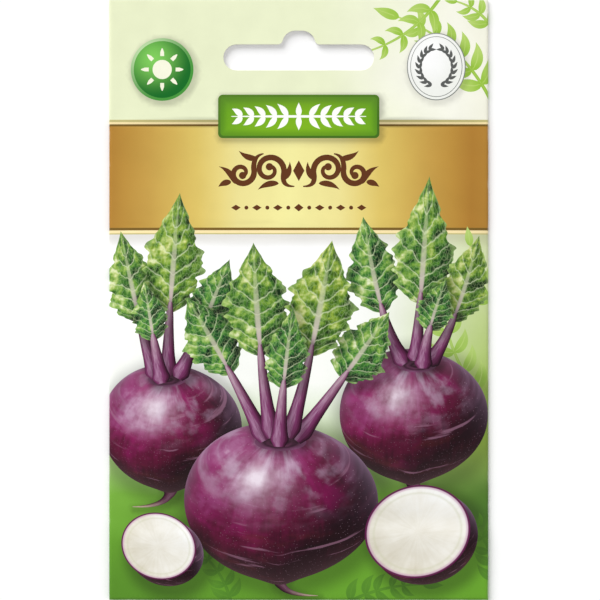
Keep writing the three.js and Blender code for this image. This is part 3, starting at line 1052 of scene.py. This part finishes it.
def lay_flat(mesh, printed_count):
    """A map of the sheet laid flat: the printed face fills it above a strip, where the lining and the cut
    edges share one corner."""
    loops = np.zeros(len(mesh.loops), np.int32)
    mesh.loops.foreach_get("vertex_index", loops)
    places = np.zeros(len(mesh.vertices) * 3)
    mesh.vertices.foreach_get("co", places)
    places = places.reshape(-1, 3)[loops, :2] / MM
    flat = (places - (-HALF_WIDTH, FOOT_Y)) / (2 * HALF_WIDTH, TOP_Y - FOOT_Y)
    flat[:, 1] = MAP_STRIP + (1 - MAP_STRIP) * flat[:, 1]
    flat[3 * printed_count:] *= MAP_CORNER
    mesh.uv_layers.new(name="OFBake").data.foreach_set("uv", flat.ravel())


def added(name, data):
    """A new object in the scene."""
    made = bpy.data.objects.new(name, data)
    bpy.context.scene.collection.objects.link(made)
    return made


def smooth_piece(name, mesh, crease):
    """A piece with a smooth surface, but for edges sharper than crease degrees."""
    mesh.shade_smooth()
    mesh.set_sharp_from_angle(angle=math.radians(crease))
    return added(name, mesh)


def plain_piece(name, verts, faces, crease, material):
    """A piece of one material."""
    mesh = bpy.data.meshes.new(name)
    mesh.from_pydata((verts * MM).tolist(), [], faces.tolist())
    mesh.materials.append(material)
    return smooth_piece(name, mesh, crease)


def sheet_mesh(name, motifs, lines, outer, inner, facing, inks):
    """A sheet of paper as a closed mesh: its printed face, its inner face and its cut edges."""
    places, printed, top = plan_sheet(motifs, lines)
    outer_z = outer(*places.T)
    inner_z = inner(*places.T)
    joined = np.abs(outer_z - inner_z) < SAME_HEIGHT
    inner_of = np.where(joined, np.arange(len(places)), len(places) + np.cumsum(~joined) - 1)
    verts = np.concatenate([np.column_stack([places, outer_z]), np.column_stack([places, inner_z])[~joined]])
    open_here = ~joined[printed].all(1)
    printed, top = printed[open_here, ::facing], top[open_here]
    lining = inner_of[printed[:, ::-1]]
    faces = printed.tolist() + lining.tolist() + wall_faces(printed, inner_of)
    mesh = bpy.data.meshes.new(name)
    mesh.from_pydata((verts * MM).tolist(), [], faces)
    ink_faces(mesh, motifs, top, inks)
    keep_print(mesh, motifs, printed, top, places)
    lay_flat(mesh, len(top))
    mesh.validate()
    return smooth_piece(name, mesh, SHEET_CREASE)


# The sachet and its seeds, inside the bag


def web_mesh(name, underside, low, high, material):
    """One web of the sachet: a sheet over its rectangle, crimped along its sealed rim."""
    columns, rows = ((high - low)[:2] / WEB_PITCH).astype(int)
    across = np.linspace(low[0], high[0], columns)
    along = np.linspace(low[1], high[1], rows)
    x, y = (grid.ravel() for grid in np.meshgrid(across, along))
    inside = np.minimum.reduce([x - low[0], high[0] - x, y - low[1], high[1] - y])
    ridge = np.sin(2 * math.pi * (x + y) / CRIMP_PITCH) * np.sin(2 * math.pi * (x - y) / CRIMP_PITCH)
    crimp = CRIMP * ridge * smooth_step(SEAL_WIDTH, SEAL_WIDTH - SEAL_EASE, inside)
    bottom = np.column_stack([x, y, underside(x, y) + CRIMP + crimp])
    count = columns * rows
    corner = (np.arange(rows - 1)[:, None] * columns + np.arange(columns - 1)).ravel()
    lower = np.column_stack([corner, corner + columns, corner + columns + 1, corner + 1])
    rim = np.concatenate(
        [
            np.arange(columns), np.arange(1, rows) * columns + columns - 1,
            np.arange(count - 2, count - columns - 1, -1), np.arange(rows - 2, 0, -1) * columns,
        ]
    )
    after = np.roll(rim, -1)
    walls = np.column_stack([rim, after, after + count, rim + count])
    faces = np.concatenate([lower, lower[:, ::-1] + count, walls])
    return plain_piece(name, np.concatenate([bottom, bottom + (0, 0, WEB_PLY)]), faces, WEB_CREASE, material)


def lower_web(material):
    """The flat web under the seeds."""

    def level(x, _y):
        return np.full_like(x, LOWER_WEB_LOW[2])

    return web_mesh("lower_web", level, LOWER_WEB_LOW, LOWER_WEB_HIGH, material)


def upper_web(material):
    """The web that is sealed to the lower one's rim and bulges over the seeds."""
    middle = (UPPER_WEB_LOW + UPPER_WEB_HIGH) / 2
    pocket = (UPPER_WEB_HIGH - UPPER_WEB_LOW) / 2 - SEAL_WIDTH
    sealed_at = LOWER_WEB_LOW[2] + WEB_PLY + SEAL_GAP
    rise = UPPER_WEB_HIGH[2] - sealed_at - WEB_PLY - 2 * CRIMP

    def pillow(x, y):
        across = 1 - np.minimum(np.abs(x - middle[0]) / pocket[0], 1) ** SWELL_POWER
        along = 1 - np.minimum(np.abs(y - middle[1]) / pocket[1], 1) ** SWELL_POWER
        return sealed_at + rise * across * along

    return web_mesh("upper_web", pillow, UPPER_WEB_LOW, UPPER_WEB_HIGH, material)


def seed_layer(material):
    """Seeds in a loose layer inside an oval patch, each turned, squashed and dimpled in its own way."""
    middle = (SEEDS_LOW + SEEDS_HIGH) / 2
    half = (SEEDS_HIGH - SEEDS_LOW) / 2 - SEED_RADIUS
    ball = bmesh.new()
    bmesh.ops.create_icosphere(ball, subdivisions=3, radius=1.0)
    surface = np.array([vert.co for vert in ball.verts])
    faces = np.array([[vert.index for vert in face.verts] for face in ball.faces])
    ball.free()
    dimple = 1 - SEED_DIMPLE * np.exp(-((surface[:, 2:] - 1) / DIMPLE_REACH) ** 2)
    seeds = []
    for row, y in enumerate(np.arange(-half[1], half[1] + PATCH_SLACK, SEED_ROW_PITCH)):
        for x in np.arange(-half[0] + SEED_PITCH / 2 * (row % 2), half[0] + PATCH_SLACK, SEED_PITCH):
            if math.hypot(x / half[0], y / half[1]) > PATCH_EDGE:
                continue
            turn = np.array(Euler([draw.uniform(0, 2 * math.pi) for _ in range(3)]).to_matrix())
            squash = [draw.uniform(*limits) for limits in SEED_SQUASH]
            spot = (middle[0] + x, middle[1] + y, SEEDS_LOW[2] + SEED_RADIUS)
            seeds.append((surface * dimple * squash * SEED_RADIUS) @ turn.T + spot)
    all_faces = np.concatenate([faces + len(surface) * number for number in range(len(seeds))])
    return plain_piece("seed_layer", np.concatenate(seeds), all_faces, SEED_CREASE, material)


# Shaders


class Field:
    """A value that changes over a surface: a socket, with arithmetic that adds Math nodes."""

    def __init__(self, shader, socket):
        self.shader = shader
        self.socket = socket

    def __add__(self, other):
        return self.shader.math("ADD", self, other)

    __radd__ = __add__

    def __sub__(self, other):
        return self.shader.math("SUBTRACT", self, other)

    def __rsub__(self, other):
        return self.shader.math("SUBTRACT", other, self)

    def __mul__(self, other):
        return self.shader.math("MULTIPLY", self, other)

    __rmul__ = __mul__

    def __truediv__(self, other):
        return self.shader.math("DIVIDE", self, other)

    def __rtruediv__(self, other):
        return self.shader.math("DIVIDE", other, self)

    def __pow__(self, other):
        return self.shader.math("POWER", self, other)

    def __rpow__(self, other):
        return self.shader.math("POWER", other, self)

    def __abs__(self):
        return self.shader.math("ABSOLUTE", self)

    def at_least(self, other):
        return self.shader.math("MAXIMUM", self, other)

    def at_most(self, other):
        return self.shader.math("MINIMUM", self, other)

    def root(self):
        return self.shader.math("SQRT", self)

    def step(self, low, high):
        """0 below low and 1 above high, smooth between; low may be the larger."""
        settings = {"interpolation_type": "SMOOTHSTEP"}
        inputs = {"Value": self, "From Min": low, "From Max": high}
        return self.shader.field("MapRange", settings, inputs, "Result")


def linear(colour):
    """A screen colour as the linear numbers that nodes take."""
    parts = [part / 255 for part in colour]
    return [part / 12.92 if part <= 0.04045 else ((part + 0.055) / 1.055) ** 2.4 for part in parts] + [1.0]


class Shader:
    """One material's nodes."""

    def __init__(self, name):
        self.material = bpy.data.materials.new(name)
        self.material.use_nodes = True
        self.tree = self.material.node_tree
        self.tree.nodes.clear()

    def node(self, kind, settings=None, inputs=None):
        """A node with its settings, and then the values or links of its sockets."""
        made = self.tree.nodes.new("ShaderNode" + kind)
        for name, value in (settings or {}).items():
            if name == "stops":
                self.set_stops(made.color_ramp.elements, value)
            else:
                setattr(made, name, value)
        for name, value in (inputs or {}).items():
            socket = made.inputs[name]
            if isinstance(value, Field):
                value = value.socket
            if isinstance(value, bpy.types.NodeSocket):
                self.tree.links.new(value, socket)
            else:
                socket.default_value = linear(value) if socket.type == "RGBA" else value
        return made

    @staticmethod
    def set_stops(elements, stops):
        while len(elements) < len(stops):
            elements.new(1.0)
        for element, (position, colour) in zip(elements, stops.items()):
            element.position = position
            element.color = linear(colour)

    def field(self, kind, settings=None, inputs=None, output=0):
        return Field(self, self.node(kind, settings, inputs).outputs[output])

    def math(self, operation, first, second=0.0):
        return self.field("Math", {"operation": operation}, {0: first, 1: second})

    def mix(self, share, first, second, blend="MIX"):
        settings = {"data_type": "RGBA", "blend_type": blend, "clamp_factor": True}
        return self.node("Mix", settings, {0: share, 6: first, 7: second}).outputs[2]

    def ramp(self, value, stops):
        """A colour that runs through the stops, each a place and its colour."""
        return self.node("ValToRGB", {"stops": stops}, {"Fac": value}).outputs["Color"]

    def vector(self, x, y, z=0.0):
        return self.node("CombineXYZ", inputs={"X": x, "Y": y, "Z": z}).outputs[0]

    def parts(self, vector):
        return [Field(self, part) for part in self.node("SeparateXYZ", inputs={0: vector}).outputs]

    def noise(self, vector, scale, detail=2.0):
        return self.field("TexNoise", inputs={"Vector": vector, "Scale": scale, "Detail": detail})

    def cells(self, vector, scale, feature="F1"):
        return self.field("TexVoronoi", {"feature": feature}, {"Vector": vector, "Scale": scale}, "Distance")

    def relief(self, place, scale, detail=2.0):
        """How an uneven skin is lit from the picture's light: about -0.5 to 0.5."""
        aside = PICTURE_LIGHT * (1, 1, 0) * 0.3 / scale
        sides = []
        for offset in (-aside, aside):
            moved = self.node("VectorMath", {"operation": "ADD"}, {0: place, 1: offset}).outputs[0]
            sides.append(self.noise(moved, scale, detail))
        return (sides[0] - sides[1]) * 2.0

    def tone(self):
        """The printed shape's own tone, from 0 to 1."""
        return self.field("Attribute", {"attribute_name": "tone"}, output="Fac")

    def place(self):
        """The surface's place on the packet, in metres."""
        return self.node("TexCoord").outputs["Object"]

    def print_place(self):
        """The surface's place in its motif, and the light left there."""
        return self.parts(self.node("Attribute", {"attribute_name": "print"}).outputs["Vector"])

    def surface(self, inputs):
        """The material, finished with a surface of these sockets."""
        principled = self.node("BsdfPrincipled", inputs=inputs)
        self.node("OutputMaterial", inputs={"Surface": principled.outputs[0]})
        return self.material


def paper_finish(shader, colour, roughness=0.5):
    """Paper over a colour: fine grain, faint mottle, a satin sheen, and folds that are worn in places."""
    place = shader.place()
    grain = shader.noise(place, 2600.0, 3.0)
    mottle = shader.noise(place, 180.0, 3.0)
    bump = shader.node("Bump", inputs={"Strength": 0.22, "Distance": 0.03 * MM, "Height": grain})
    x, y, _ = shader.parts(place)
    to_fold = (HALF_WIDTH * MM - abs(x)).at_most(y - FOOT_Y * MM)
    worn = to_fold.step(0.35 * MM, 0.05 * MM) * mottle.step(0.5, 0.72) * 0.25
    colour = shader.mix(worn, colour, (250, 248, 240))
    stain = shader.ramp(mottle, {0.3: (90, 90, 80), 0.7: (255, 255, 255)})
    return shader.surface({
        "Base Color": shader.mix(0.05, colour, stain, "MULTIPLY"),
        "Roughness": roughness + (mottle - 0.5) * 0.12,
        "Specular IOR Level": 0.12,
        "Normal": bump.outputs["Normal"],
    })


def from_middle(across, up):
    """Distance from the middle of a motif, in its own coordinates."""
    return (across * across + up * up).root()


# What the printed inks paint, from a place in their motif


def paint_flat(shader, _across, _up, colour, drift=0.106):
    """One colour, a little darker in places."""
    uneven = shader.noise(shader.place(), 420.0, 3.0)
    return shader.mix((uneven - 0.35) * drift, colour, (0, 0, 0))


def paint_header(shader, across, up):
    """Pale green, even on the left, that fades to cream on the right."""
    ground = shader.ramp(across, {
        0.0: (233, 239, 201), 0.55: (235, 241, 205), 0.75: (241, 244, 218), 0.9: (246, 246, 232),
        1.0: (243, 242, 224),
    })
    glow = from_middle((across - 0.8) * 2.2, up - 0.35).step(0.5, 0.0)
    return shader.mix(glow * 0.5, ground, (252, 250, 244))


def paint_band(shader, across, up):
    """Gold, palest near the middle and brown towards both sides."""
    uneven = shader.noise(shader.vector(across * 3, up * 0.4), 2.0) - 0.5
    return shader.ramp(abs(across - 0.475) * 2.0 + uneven * 0.05, {
        0.0: (240, 233, 158), 0.26: (232, 220, 145), 0.36: (227, 208, 124), 0.47: (217, 191, 100),
        0.6: (206, 173, 85), 0.72: (195, 155, 72), 0.84: (186, 141, 60), 0.94: (175, 125, 50),
        1.0: (179, 130, 53),
    })


def paint_picture_ground(shader, across, up):
    """Green below that clears to white above, dark at the lower left and low on the right, lime up the
    right side and shaded under the band."""
    cloud = shader.noise(shader.vector(across * 1.1, up), 3.2, 4.0) - 0.5
    ground = shader.ramp(up + cloud * 0.1, {
        0.0: (102, 160, 44), 0.16: (106, 164, 48), 0.3: (118, 172, 62), 0.44: (182, 210, 142),
        0.6: (250, 252, 246), 1.0: (255, 255, 255),
    })
    lime = shader.ramp(up, {0.58: (162, 196, 72), 0.78: (194, 214, 136), 0.88: (214, 226, 172)})
    ground = shader.mix(across.step(0.62, 1.0) * up.step(0.22, 0.46) * 0.95, ground, lime)
    shade = across.step(0.55, 0.0) * up.step(0.3, 0.0) * 0.35
    shade = shade + across.step(0.68, 1.0) * up.step(0.1, 0.26) * up.step(0.46, 0.3) * 0.7
    ground = shader.mix(shade, ground, (46, 84, 34))
    return shader.mix(up.step(0.955, 0.995) * 0.35, ground, (150, 140, 110))


def paint_plate(shader, across, up):
    """Even green in the middle, darker towards the edges and most along the top."""
    to_side, to_end = (
        (1.0 - abs(share)) * half for share, half in zip((across, up), PLATE_HALF_SIZE - PLATE_RIM)
    )
    green = shader.ramp(1.0 - across * across - up * 0.2, {
        0.0: (104, 162, 30), 0.5: (114, 170, 28), 1.0: (124, 178, 26),
    })
    green = shader.mix(to_side.at_most(to_end).step(1.8, 0.1) * 0.5, green, (68, 118, 28))
    return shader.mix(up.step(0.1, 1.0) * 0.4, green, (86, 124, 44))


def paint_plate_rim(shader, across, up):
    """Dark green, lighter towards the upper left."""
    return shader.mix((up * 0.8 - across * 0.5).step(-0.9, 0.9), (64, 108, 28), (84, 126, 36))


def paint_boss(shader, across, up, lit, edge):
    """A low boss, lit towards its upper left."""
    return shader.mix(from_middle(across + 0.3, up - 0.35).step(0.0, 1.35), lit, edge)


def paint_sprig(shader, along, across, dark, pale):
    """A leaflet or a stem that pales towards its tip, with a pale vein."""
    drift = shader.noise(shader.place(), 160.0, 2.0)
    tone = shader.mix(along * 0.6 + (drift - 0.5) * 0.9, dark, pale)
    return shader.mix(abs(across).step(0.16, 0.0) * 0.5, tone, pale)


def ball_light(across, up):
    """How a ball whose outline is the unit circle is lit: its depth, its light and its gloss."""
    depth = (1.0 - across * across - up * up).at_least(0.0).root()

    def facing(direction):
        x, y, z = direction / np.linalg.norm(direction)
        return (across * x + up * y + depth * z).at_least(0.0)

    to_viewer = np.array((0, 0, np.linalg.norm(PICTURE_LIGHT)))
    return depth, facing(PICTURE_LIGHT), facing(PICTURE_LIGHT + to_viewer)


def paint_root(shader, across, up):
    """Purple skin: maroon below, flushed with magenta, dusty with wax on the shoulder, and uneven."""
    place = shader.place()
    each = shader.tone()
    depth, lit, gloss = ball_light(across, up)
    to_crown = up * 0.8 + depth * 0.6
    round_axis = across / (1.02 - to_crown * to_crown).at_least(0.03).root()

    def streaks(round_scale, crown_scale, seed, detail=3.0):
        flow = shader.vector(round_axis * round_scale, to_crown * crown_scale, each * 40 + seed)
        return shader.noise(flow, 1.0, detail) - 0.5

    blotch = streaks(3.2, 2.6, 2.0, 5.0)
    fibre = streaks(26.0, 1.6, 4.0)
    ring = streaks(0.8, 18.0, 7.0)
    uneven = shader.relief(place, 90.0, 3.0) * 0.5 + shader.relief(place, 420.0, 3.0) * 0.22
    tone = lit * 0.84 + blotch * 0.3 + fibre * 0.2 + ring * 0.12 + uneven * (0.25 + lit * 0.5)
    skin = shader.ramp(tone, {
        0.0: (26, 4, 12), 0.2: (50, 8, 26), 0.42: (86, 13, 46), 0.62: (118, 22, 74), 0.8: (144, 56, 110),
        0.92: (170, 106, 148), 1.0: (200, 156, 186),
    })
    rust = streaks(2.0, 4.5, 15.0, 4.0).step(0.0, 0.22) * up.step(0.1, -0.6)
    skin = shader.mix(rust * 0.5, skin, shader.ramp(tone, {0.0: (44, 10, 12), 0.7: (136, 54, 56)}))
    flush = streaks(2.6, 2.6, 12.0).step(0.0, 0.22)
    skin = shader.mix(flush * lit * 0.7, skin, (150, 16, 100))
    shoulder = to_crown.step(0.1, 0.9) * 0.5 + up.step(-0.2, 0.8) * 0.2
    wax = streaks(4.2, 6.0, 21.0, 6.0).step(-0.06, 0.2) * shoulder
    skin = shader.mix(wax, skin, shader.ramp(tone, {0.0: (104, 70, 98), 1.0: (206, 180, 204)}))
    scar = streaks(1.4, 11.0, 9.0, 4.0).step(0.12, 0.2)
    skin = shader.mix(scar * 0.45, skin, (164, 116, 142))
    speck = shader.cells(shader.vector(round_axis * 30, to_crown * 34, each * 9), 1.0).step(0.16, 0.08)
    skin = shader.mix(speck * 0.3, skin, (196, 160, 180))
    edge = (1.0 - depth) ** 2.2 * up.step(-0.5, 0.6)
    skin = shader.mix(edge * 0.55, skin, (168, 136, 166))
    bounce = (1.0 - depth) ** 1.6 * up.step(-0.2, -0.9)
    skin = shader.mix(bounce * 0.35, skin, (112, 84, 88))
    shine = gloss ** 22.0 * (0.34 + blotch + uneven * 0.8) + gloss ** 120.0 * (0.45 + uneven)
    return shader.mix(shine, skin, (240, 226, 238))


def paint_stem(shader, along, across, foot_tones, end_tones):
    """A round stem, ribbed along its length, that turns from one set of tones into another."""
    depth = (1.0 - across * across).at_least(0.0).root()
    rib = shader.noise(shader.vector(along * 3, across * 4), 2.0, 3.0) - 0.5
    lit = depth * 0.8 + across * 0.3 + rib * 0.35
    foot, end = (
        shader.ramp(lit, dict(zip((0.0, 0.4, 0.75, 1.0), tones))) for tones in (foot_tones, end_tones)
    )
    return shader.mix((along + rib * 0.4).step(0.35, 1.05), foot, end)


def paint_crown(shader, across, up):
    """The crown of a root: dusky rings between the feet of the stalks."""
    out = from_middle(across, up)
    wander = shader.noise(shader.vector(across, up), 3.0) * 0.6
    rings = shader.math("PINGPONG", out * 2.6 + wander, 0.5) * 2.0
    tone = shader.mix(rings, (58, 18, 44), (120, 62, 98))
    return shader.mix(out.step(0.55, 1.0), tone, (128, 76, 112))


def paint_leaf(shader, along, across):
    """A puckered leaf: pale midrib and side veins, with the blade swelling between them. Each leaf is
    somewhere between blue green and yellow green."""
    place = shader.place()
    each = shader.tone()
    out = abs(across)
    halves = across.step(-0.1, 0.1)
    wander = shader.noise(shader.vector(along * 5, across * 2, each * 30), 1.5, 3.0) - 0.5
    beat = along * 8.0 - out * 1.5 + wander * 0.9
    swell = shader.math("FRACT", beat) - 0.5
    fold = shader.noise(shader.vector(along * 2.6, across * 1.1, each * 50), 1.8, 3.0) - 0.5
    crinkle = shader.relief(place, 330.0) * 0.55 + shader.relief(place, 900.0) * 0.3
    ruffle = shader.noise(shader.vector(along * 11, halves * 7, each * 70), 1.0, 2.0) - 0.5
    tone = 0.37 + fold * 1.2 + crinkle * 1.15 + swell * 0.28 + along * 0.12 + (each - 0.5) * 0.2
    tone = tone + (halves - 0.5) * 0.1 + across * 0.12 + ruffle * out * out * 1.2
    green = shader.ramp(tone, {
        0.0: (10, 40, 18), 0.22: (28, 84, 38), 0.45: (64, 128, 50), 0.66: (122, 170, 74),
        0.84: (184, 208, 134), 1.0: (234, 240, 212),
    })
    yellow = shader.ramp(tone, {
        0.0: (26, 46, 8), 0.35: (84, 116, 22), 0.65: (146, 168, 50), 1.0: (226, 228, 146),
    })
    warm = each.step(0.25, 0.95) * 0.6 + (fold + along * 0.3).step(0.05, 0.4) * 0.3
    blade_tone = shader.mix(warm, green, yellow)
    net = shader.cells(shader.vector(along * 24 + wander * 3, across * 8), 1.0, "DISTANCE_TO_EDGE")
    blade_tone = shader.mix(net.step(0.1, 0.0) * 0.3, blade_tone, (176, 204, 140))
    vein = shader.math("PINGPONG", beat, 0.5).step(0.1, 0.0) * (1.0 - out * 0.6)
    blade_tone = shader.mix(vein * 0.8, blade_tone, (208, 222, 178))
    rib_tone = shader.ramp(along, {0.0: (176, 140, 158), 0.25: (204, 194, 182), 0.8: (192, 210, 154)})
    blade_tone = shader.mix(out.step(0.12, 0.05) * (1.15 - along), blade_tone, rib_tone)
    hem = out.step(0.86, 1.06)
    return shader.mix(hem * 0.4, blade_tone, (170, 202, 124))


def paint_soil(shader, _across, up):
    """Crumbly soil, darker with depth, with paler grit in it."""
    place = shader.place()
    crumb = shader.relief(place, 700.0, 3.0)
    cloud = shader.noise(place, 260.0, 3.0) - 0.5
    soil = shader.ramp(up * 0.45 + 0.75 + crumb * 0.7 + cloud * 0.6, {
        0.0: (44, 28, 18), 0.45: (88, 60, 38), 0.8: (128, 92, 60), 1.0: (166, 130, 92),
    })
    grit = shader.cells(place, 620.0).step(0.22, 0.14)
    return shader.mix(grit * 0.5, soil, (186, 164, 128))


def paint_flesh(shader, across, up):
    """A cut face: moist cream flesh with faint rays and a ring, inside a thin purple skin."""
    out = from_middle(across, up)
    angle = shader.math("ARCTAN2", up, across)
    ray = shader.noise(shader.vector(angle * 9, out * 1.6), 1.0, 3.0) - 0.5
    cloud = shader.noise(shader.vector(across, up, 3.0), 2.4, 4.0) - 0.5
    flesh = shader.ramp(0.66 + across * 0.2 + up * 0.2 + ray * 0.26 + cloud * 0.5, {
        0.1: (186, 180, 160), 0.4: (222, 216, 198), 0.7: (243, 240, 230), 1.0: (255, 255, 252),
    })
    ring = (1.0 - abs(out - 0.83 + ray * 0.02) * 26).at_least(0.0)
    flesh = shader.mix(ring * 0.35, flesh, (204, 206, 170))
    flesh = shader.mix(out.step(0.9, 0.95) * 0.7, flesh, (206, 160, 192))
    return shader.mix(out.step(0.95, 0.972), flesh, (98, 30, 76))


# The inks by name: what each paints, and its colours
PALE_DRIFT = 0.053
PRINTED_INKS = {
    "header": (paint_header,),
    "band": (paint_band,),
    "picture_ground": (paint_picture_ground,),
    "tan_rule": (paint_flat, (200, 190, 128)),
    "light_rule": (paint_flat, (250, 230, 174)),
    "dark_rule": (paint_flat, (122, 94, 38)),
    "plate": (paint_plate,),
    "plate_rim": (paint_plate_rim,),
    "roundel": (paint_boss, (128, 206, 92), (18, 108, 36)),
    "roundel_rim": (paint_boss, (214, 240, 190), (70, 150, 60)),
    "tag": (paint_boss, (255, 255, 255), (240, 242, 236)),
    "tag_rim": (paint_boss, (170, 172, 168), (122, 126, 122)),
    "cream_mark": (paint_flat, (250, 250, 226)),
    "grey_mark": (paint_flat, (92, 94, 92)),
    "white_mark": (paint_flat, (255, 255, 250)),
    "brown_mark": (paint_flat, (96, 52, 22)),
    "pale_sprig": (paint_sprig, (150, 194, 62), (206, 226, 138)),
    "field_sprig": (paint_sprig, (150, 192, 72), (204, 224, 140)),
    "ground_sprig": (paint_sprig, (80, 132, 40), (98, 152, 46)),
    "root": (paint_root,),
    "crown": (paint_crown,),
    "stalk": (
        paint_stem,
        ((28, 6, 20), (74, 20, 54), (120, 52, 98), (196, 154, 186)),
        ((56, 22, 44), (114, 64, 94), (166, 126, 148), (216, 198, 204)),
    ),
    "tail": (
        paint_stem,
        ((34, 10, 24), (72, 26, 52), (112, 62, 88), (160, 120, 140)),
        ((82, 60, 52), (140, 112, 98), (186, 164, 144), (214, 200, 180)),
    ),
    "leaf": (paint_leaf,),
    "flesh": (paint_flesh,),
    "soil": (paint_soil,),
    "seed_mark": (paint_boss, (168, 120, 78), (52, 30, 20)),
    "seed_hollow": (paint_flat, (214, 190, 150)),
    "young_leaf": (paint_sprig, (92, 152, 44), (172, 208, 96)),
    "guide_sky": (paint_flat, (226, 238, 226), PALE_DRIFT),
    "box": (paint_flat, (252, 252, 246), PALE_DRIFT),
    "box_rim": (paint_flat, (128, 160, 88)),
    "month_green": (paint_flat, (176, 204, 124)),
    "month_pale": (paint_flat, (206, 224, 164)),
    "back_paper": (paint_flat, (240, 243, 222), PALE_DRIFT),
    "back_flap": (paint_flat, (238, 241, 218), PALE_DRIFT),
}


# Materials


def printed_ink(name, paint, *colours):
    """Printed paper: what the ink paints, under the soft shadows of the shapes printed over it."""
    shader = Shader(name + "_ink")
    first, second, light = shader.print_place()
    colour = paint(shader, first, second, *colours)
    return paper_finish(shader, shader.mix(1.0 - light, colour, (24, 22, 18)))


def bare_paper():
    """The paper's own white, inside the bag."""
    shader = Shader("bare_paper")
    fibre = shader.noise(shader.place(), 1500.0, 4.0)
    return paper_finish(shader, shader.mix(fibre, (226, 224, 216), (250, 249, 245)), 0.7)


def cut_edge():
    """The cut edge of the glued plies: white paper with lines of glue between."""
    shader = Shader("cut_edge")
    place = shader.place()
    fibre = shader.noise(place, 2200.0, 4.0)
    white = shader.mix(fibre, (222, 220, 212), (248, 247, 243))
    plies = shader.parts(place)[2] / (EDGE_HEIGHT / GLUED_PLIES * MM)
    glue = shader.math("PINGPONG", plies - 0.5, 1.0).step(0.4, 0.75)
    return paper_finish(shader, shader.mix(glue * 0.5, white, (164, 158, 142)), 0.75)


def sachet_finish():
    """Matt paper of the sachet: fibres, and creamier clouds."""
    shader = Shader("sachet_finish")
    place = shader.place()
    white = shader.mix(shader.noise(place, 1200.0, 4.0), (214, 210, 198), (240, 238, 230))
    return paper_finish(shader, shader.mix(shader.noise(place, 90.0) * 0.3, white, (226, 216, 192)), 0.6)


def seed_finish():
    """Dark brown seed coats in several tones, finely pitted."""
    shader = Shader("seed_finish")
    place = shader.place()
    tone = shader.noise(place, 700.0, 3.0) * 0.6 + shader.cells(place, 520.0) * 0.5
    brown = shader.ramp(tone, {0.2: (38, 20, 14), 0.55: (78, 44, 32), 0.9: (118, 76, 56)})
    return paper_finish(shader, brown, 0.62)


def floor_finish():
    """Matt white with the faintest clouds."""
    shader = Shader("floor_finish")
    white = shader.mix(shader.noise(shader.place(), 6.0), (253, 253, 253), (255, 255, 255))
    return shader.surface({"Base Color": white, "Roughness": 0.8, "Specular IOR Level": 0.1})


# The packet


def stand_for(node, slot, *pieces):
    """Puts the pieces on the root body and hides the node that they stand for. The slot argument is not
    used.
    """
    for piece in pieces:
        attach(piece, "root")
        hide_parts(node)


def paper_bag():
    """The bag's front and back."""
    inks = {name: printed_ink(name, *recipe) for name, recipe in PRINTED_INKS.items()}
    inks.update(bare_paper=bare_paper(), cut_edge=cut_edge())
    folds = fold_lines()
    seam = [np.array([(x, FOOT_Y), (x, TOP_Y)]) for x in (SEAM_X, SEAM_X + LAP_SLOPE)]
    flap = flap_outline(LAP_SLOPE)
    back_lines = folds + seam + [np.concatenate([flap, flap[:1]])]
    front = front_motifs()
    back = back_motifs(front)
    return (
        sheet_mesh("bag_front", front, folds, front_outer, front_inner, 1, inks),
        sheet_mesh("bag_back", back, back_lines, back_outer, back_inner, -1, inks),
    )


stand_for("paper_bag", "printed_paper", *paper_bag())
web_paper = sachet_finish()
stand_for("sachet_lower_web", "sachet_paper", lower_web(web_paper))
stand_for("sachet_upper_web", "sachet_paper", upper_web(web_paper))
stand_for("seeds", "seed_coat", seed_layer(seed_finish()))


# Floor, light and camera

FLOOR_REACH = 60000.0
FLOOR_LEVEL = -0.05
PACKET_OFF_CENTRE = 0.26
LENS = 150.0
SENSOR = 36.0
NEAR_CLIP = 10.0


def floor():
    """A white floor, a hair below the packet so that their faces don't meet."""
    corners = [(x, y, FLOOR_LEVEL / FLOOR_REACH) for x, y in ((-1, -1), (1, -1), (1, 1), (-1, 1))]
    mesh = bpy.data.meshes.new("floor")
    mesh.from_pydata((np.array(corners) * FLOOR_REACH * MM).tolist(), [], [(0, 1, 2, 3)])
    mesh.materials.append(floor_finish())
    added("floor", mesh)


def soft_light(name, towards, spread, share):
    """A broad soft light from one side, which gives the floor this share of full white."""
    towards = Vector(towards).normalized()
    light = bpy.data.lights.new(name, "SUN")
    light.angle = math.radians(spread)
    light.energy = share * math.pi / towards.z
    added(name, light).rotation_euler = (-towards).to_track_quat("-Z", "Y").to_euler()


def world_light(strength):
    """White light from all round."""
    world = bpy.data.worlds.new("studio")
    world.use_nodes = True
    background = world.node_tree.nodes["Background"]
    background.inputs["Color"].default_value = (1.0, 1.0, 1.0, 1.0)
    background.inputs["Strength"].default_value = strength
    bpy.context.scene.world = world


def camera():
    """A long lens straight over the packet, which fills the picture's height."""
    lens = bpy.data.cameras.new("camera")
    lens.lens = LENS
    lens.sensor_width = SENSOR
    lens.clip_start = NEAR_CLIP * MM
    made = added("camera", lens)
    distance = (TOP_Y - FOOT_Y) * LENS / SENSOR + EDGE_HEIGHT
    made.location = (PACKET_OFF_CENTRE * MM, 0.0, distance * MM)
    bpy.context.scene.camera = made


floor()
soft_light("key", towards=(-0.9, 1.3, 1.08), spread=46, share=0.47)
soft_light("fill", towards=(1.4, -0.8, 1.8), spread=70, share=0.13)
world_light(strength=0.44)
camera()
bpy.context.scene.view_settings.view_transform = "Standard"
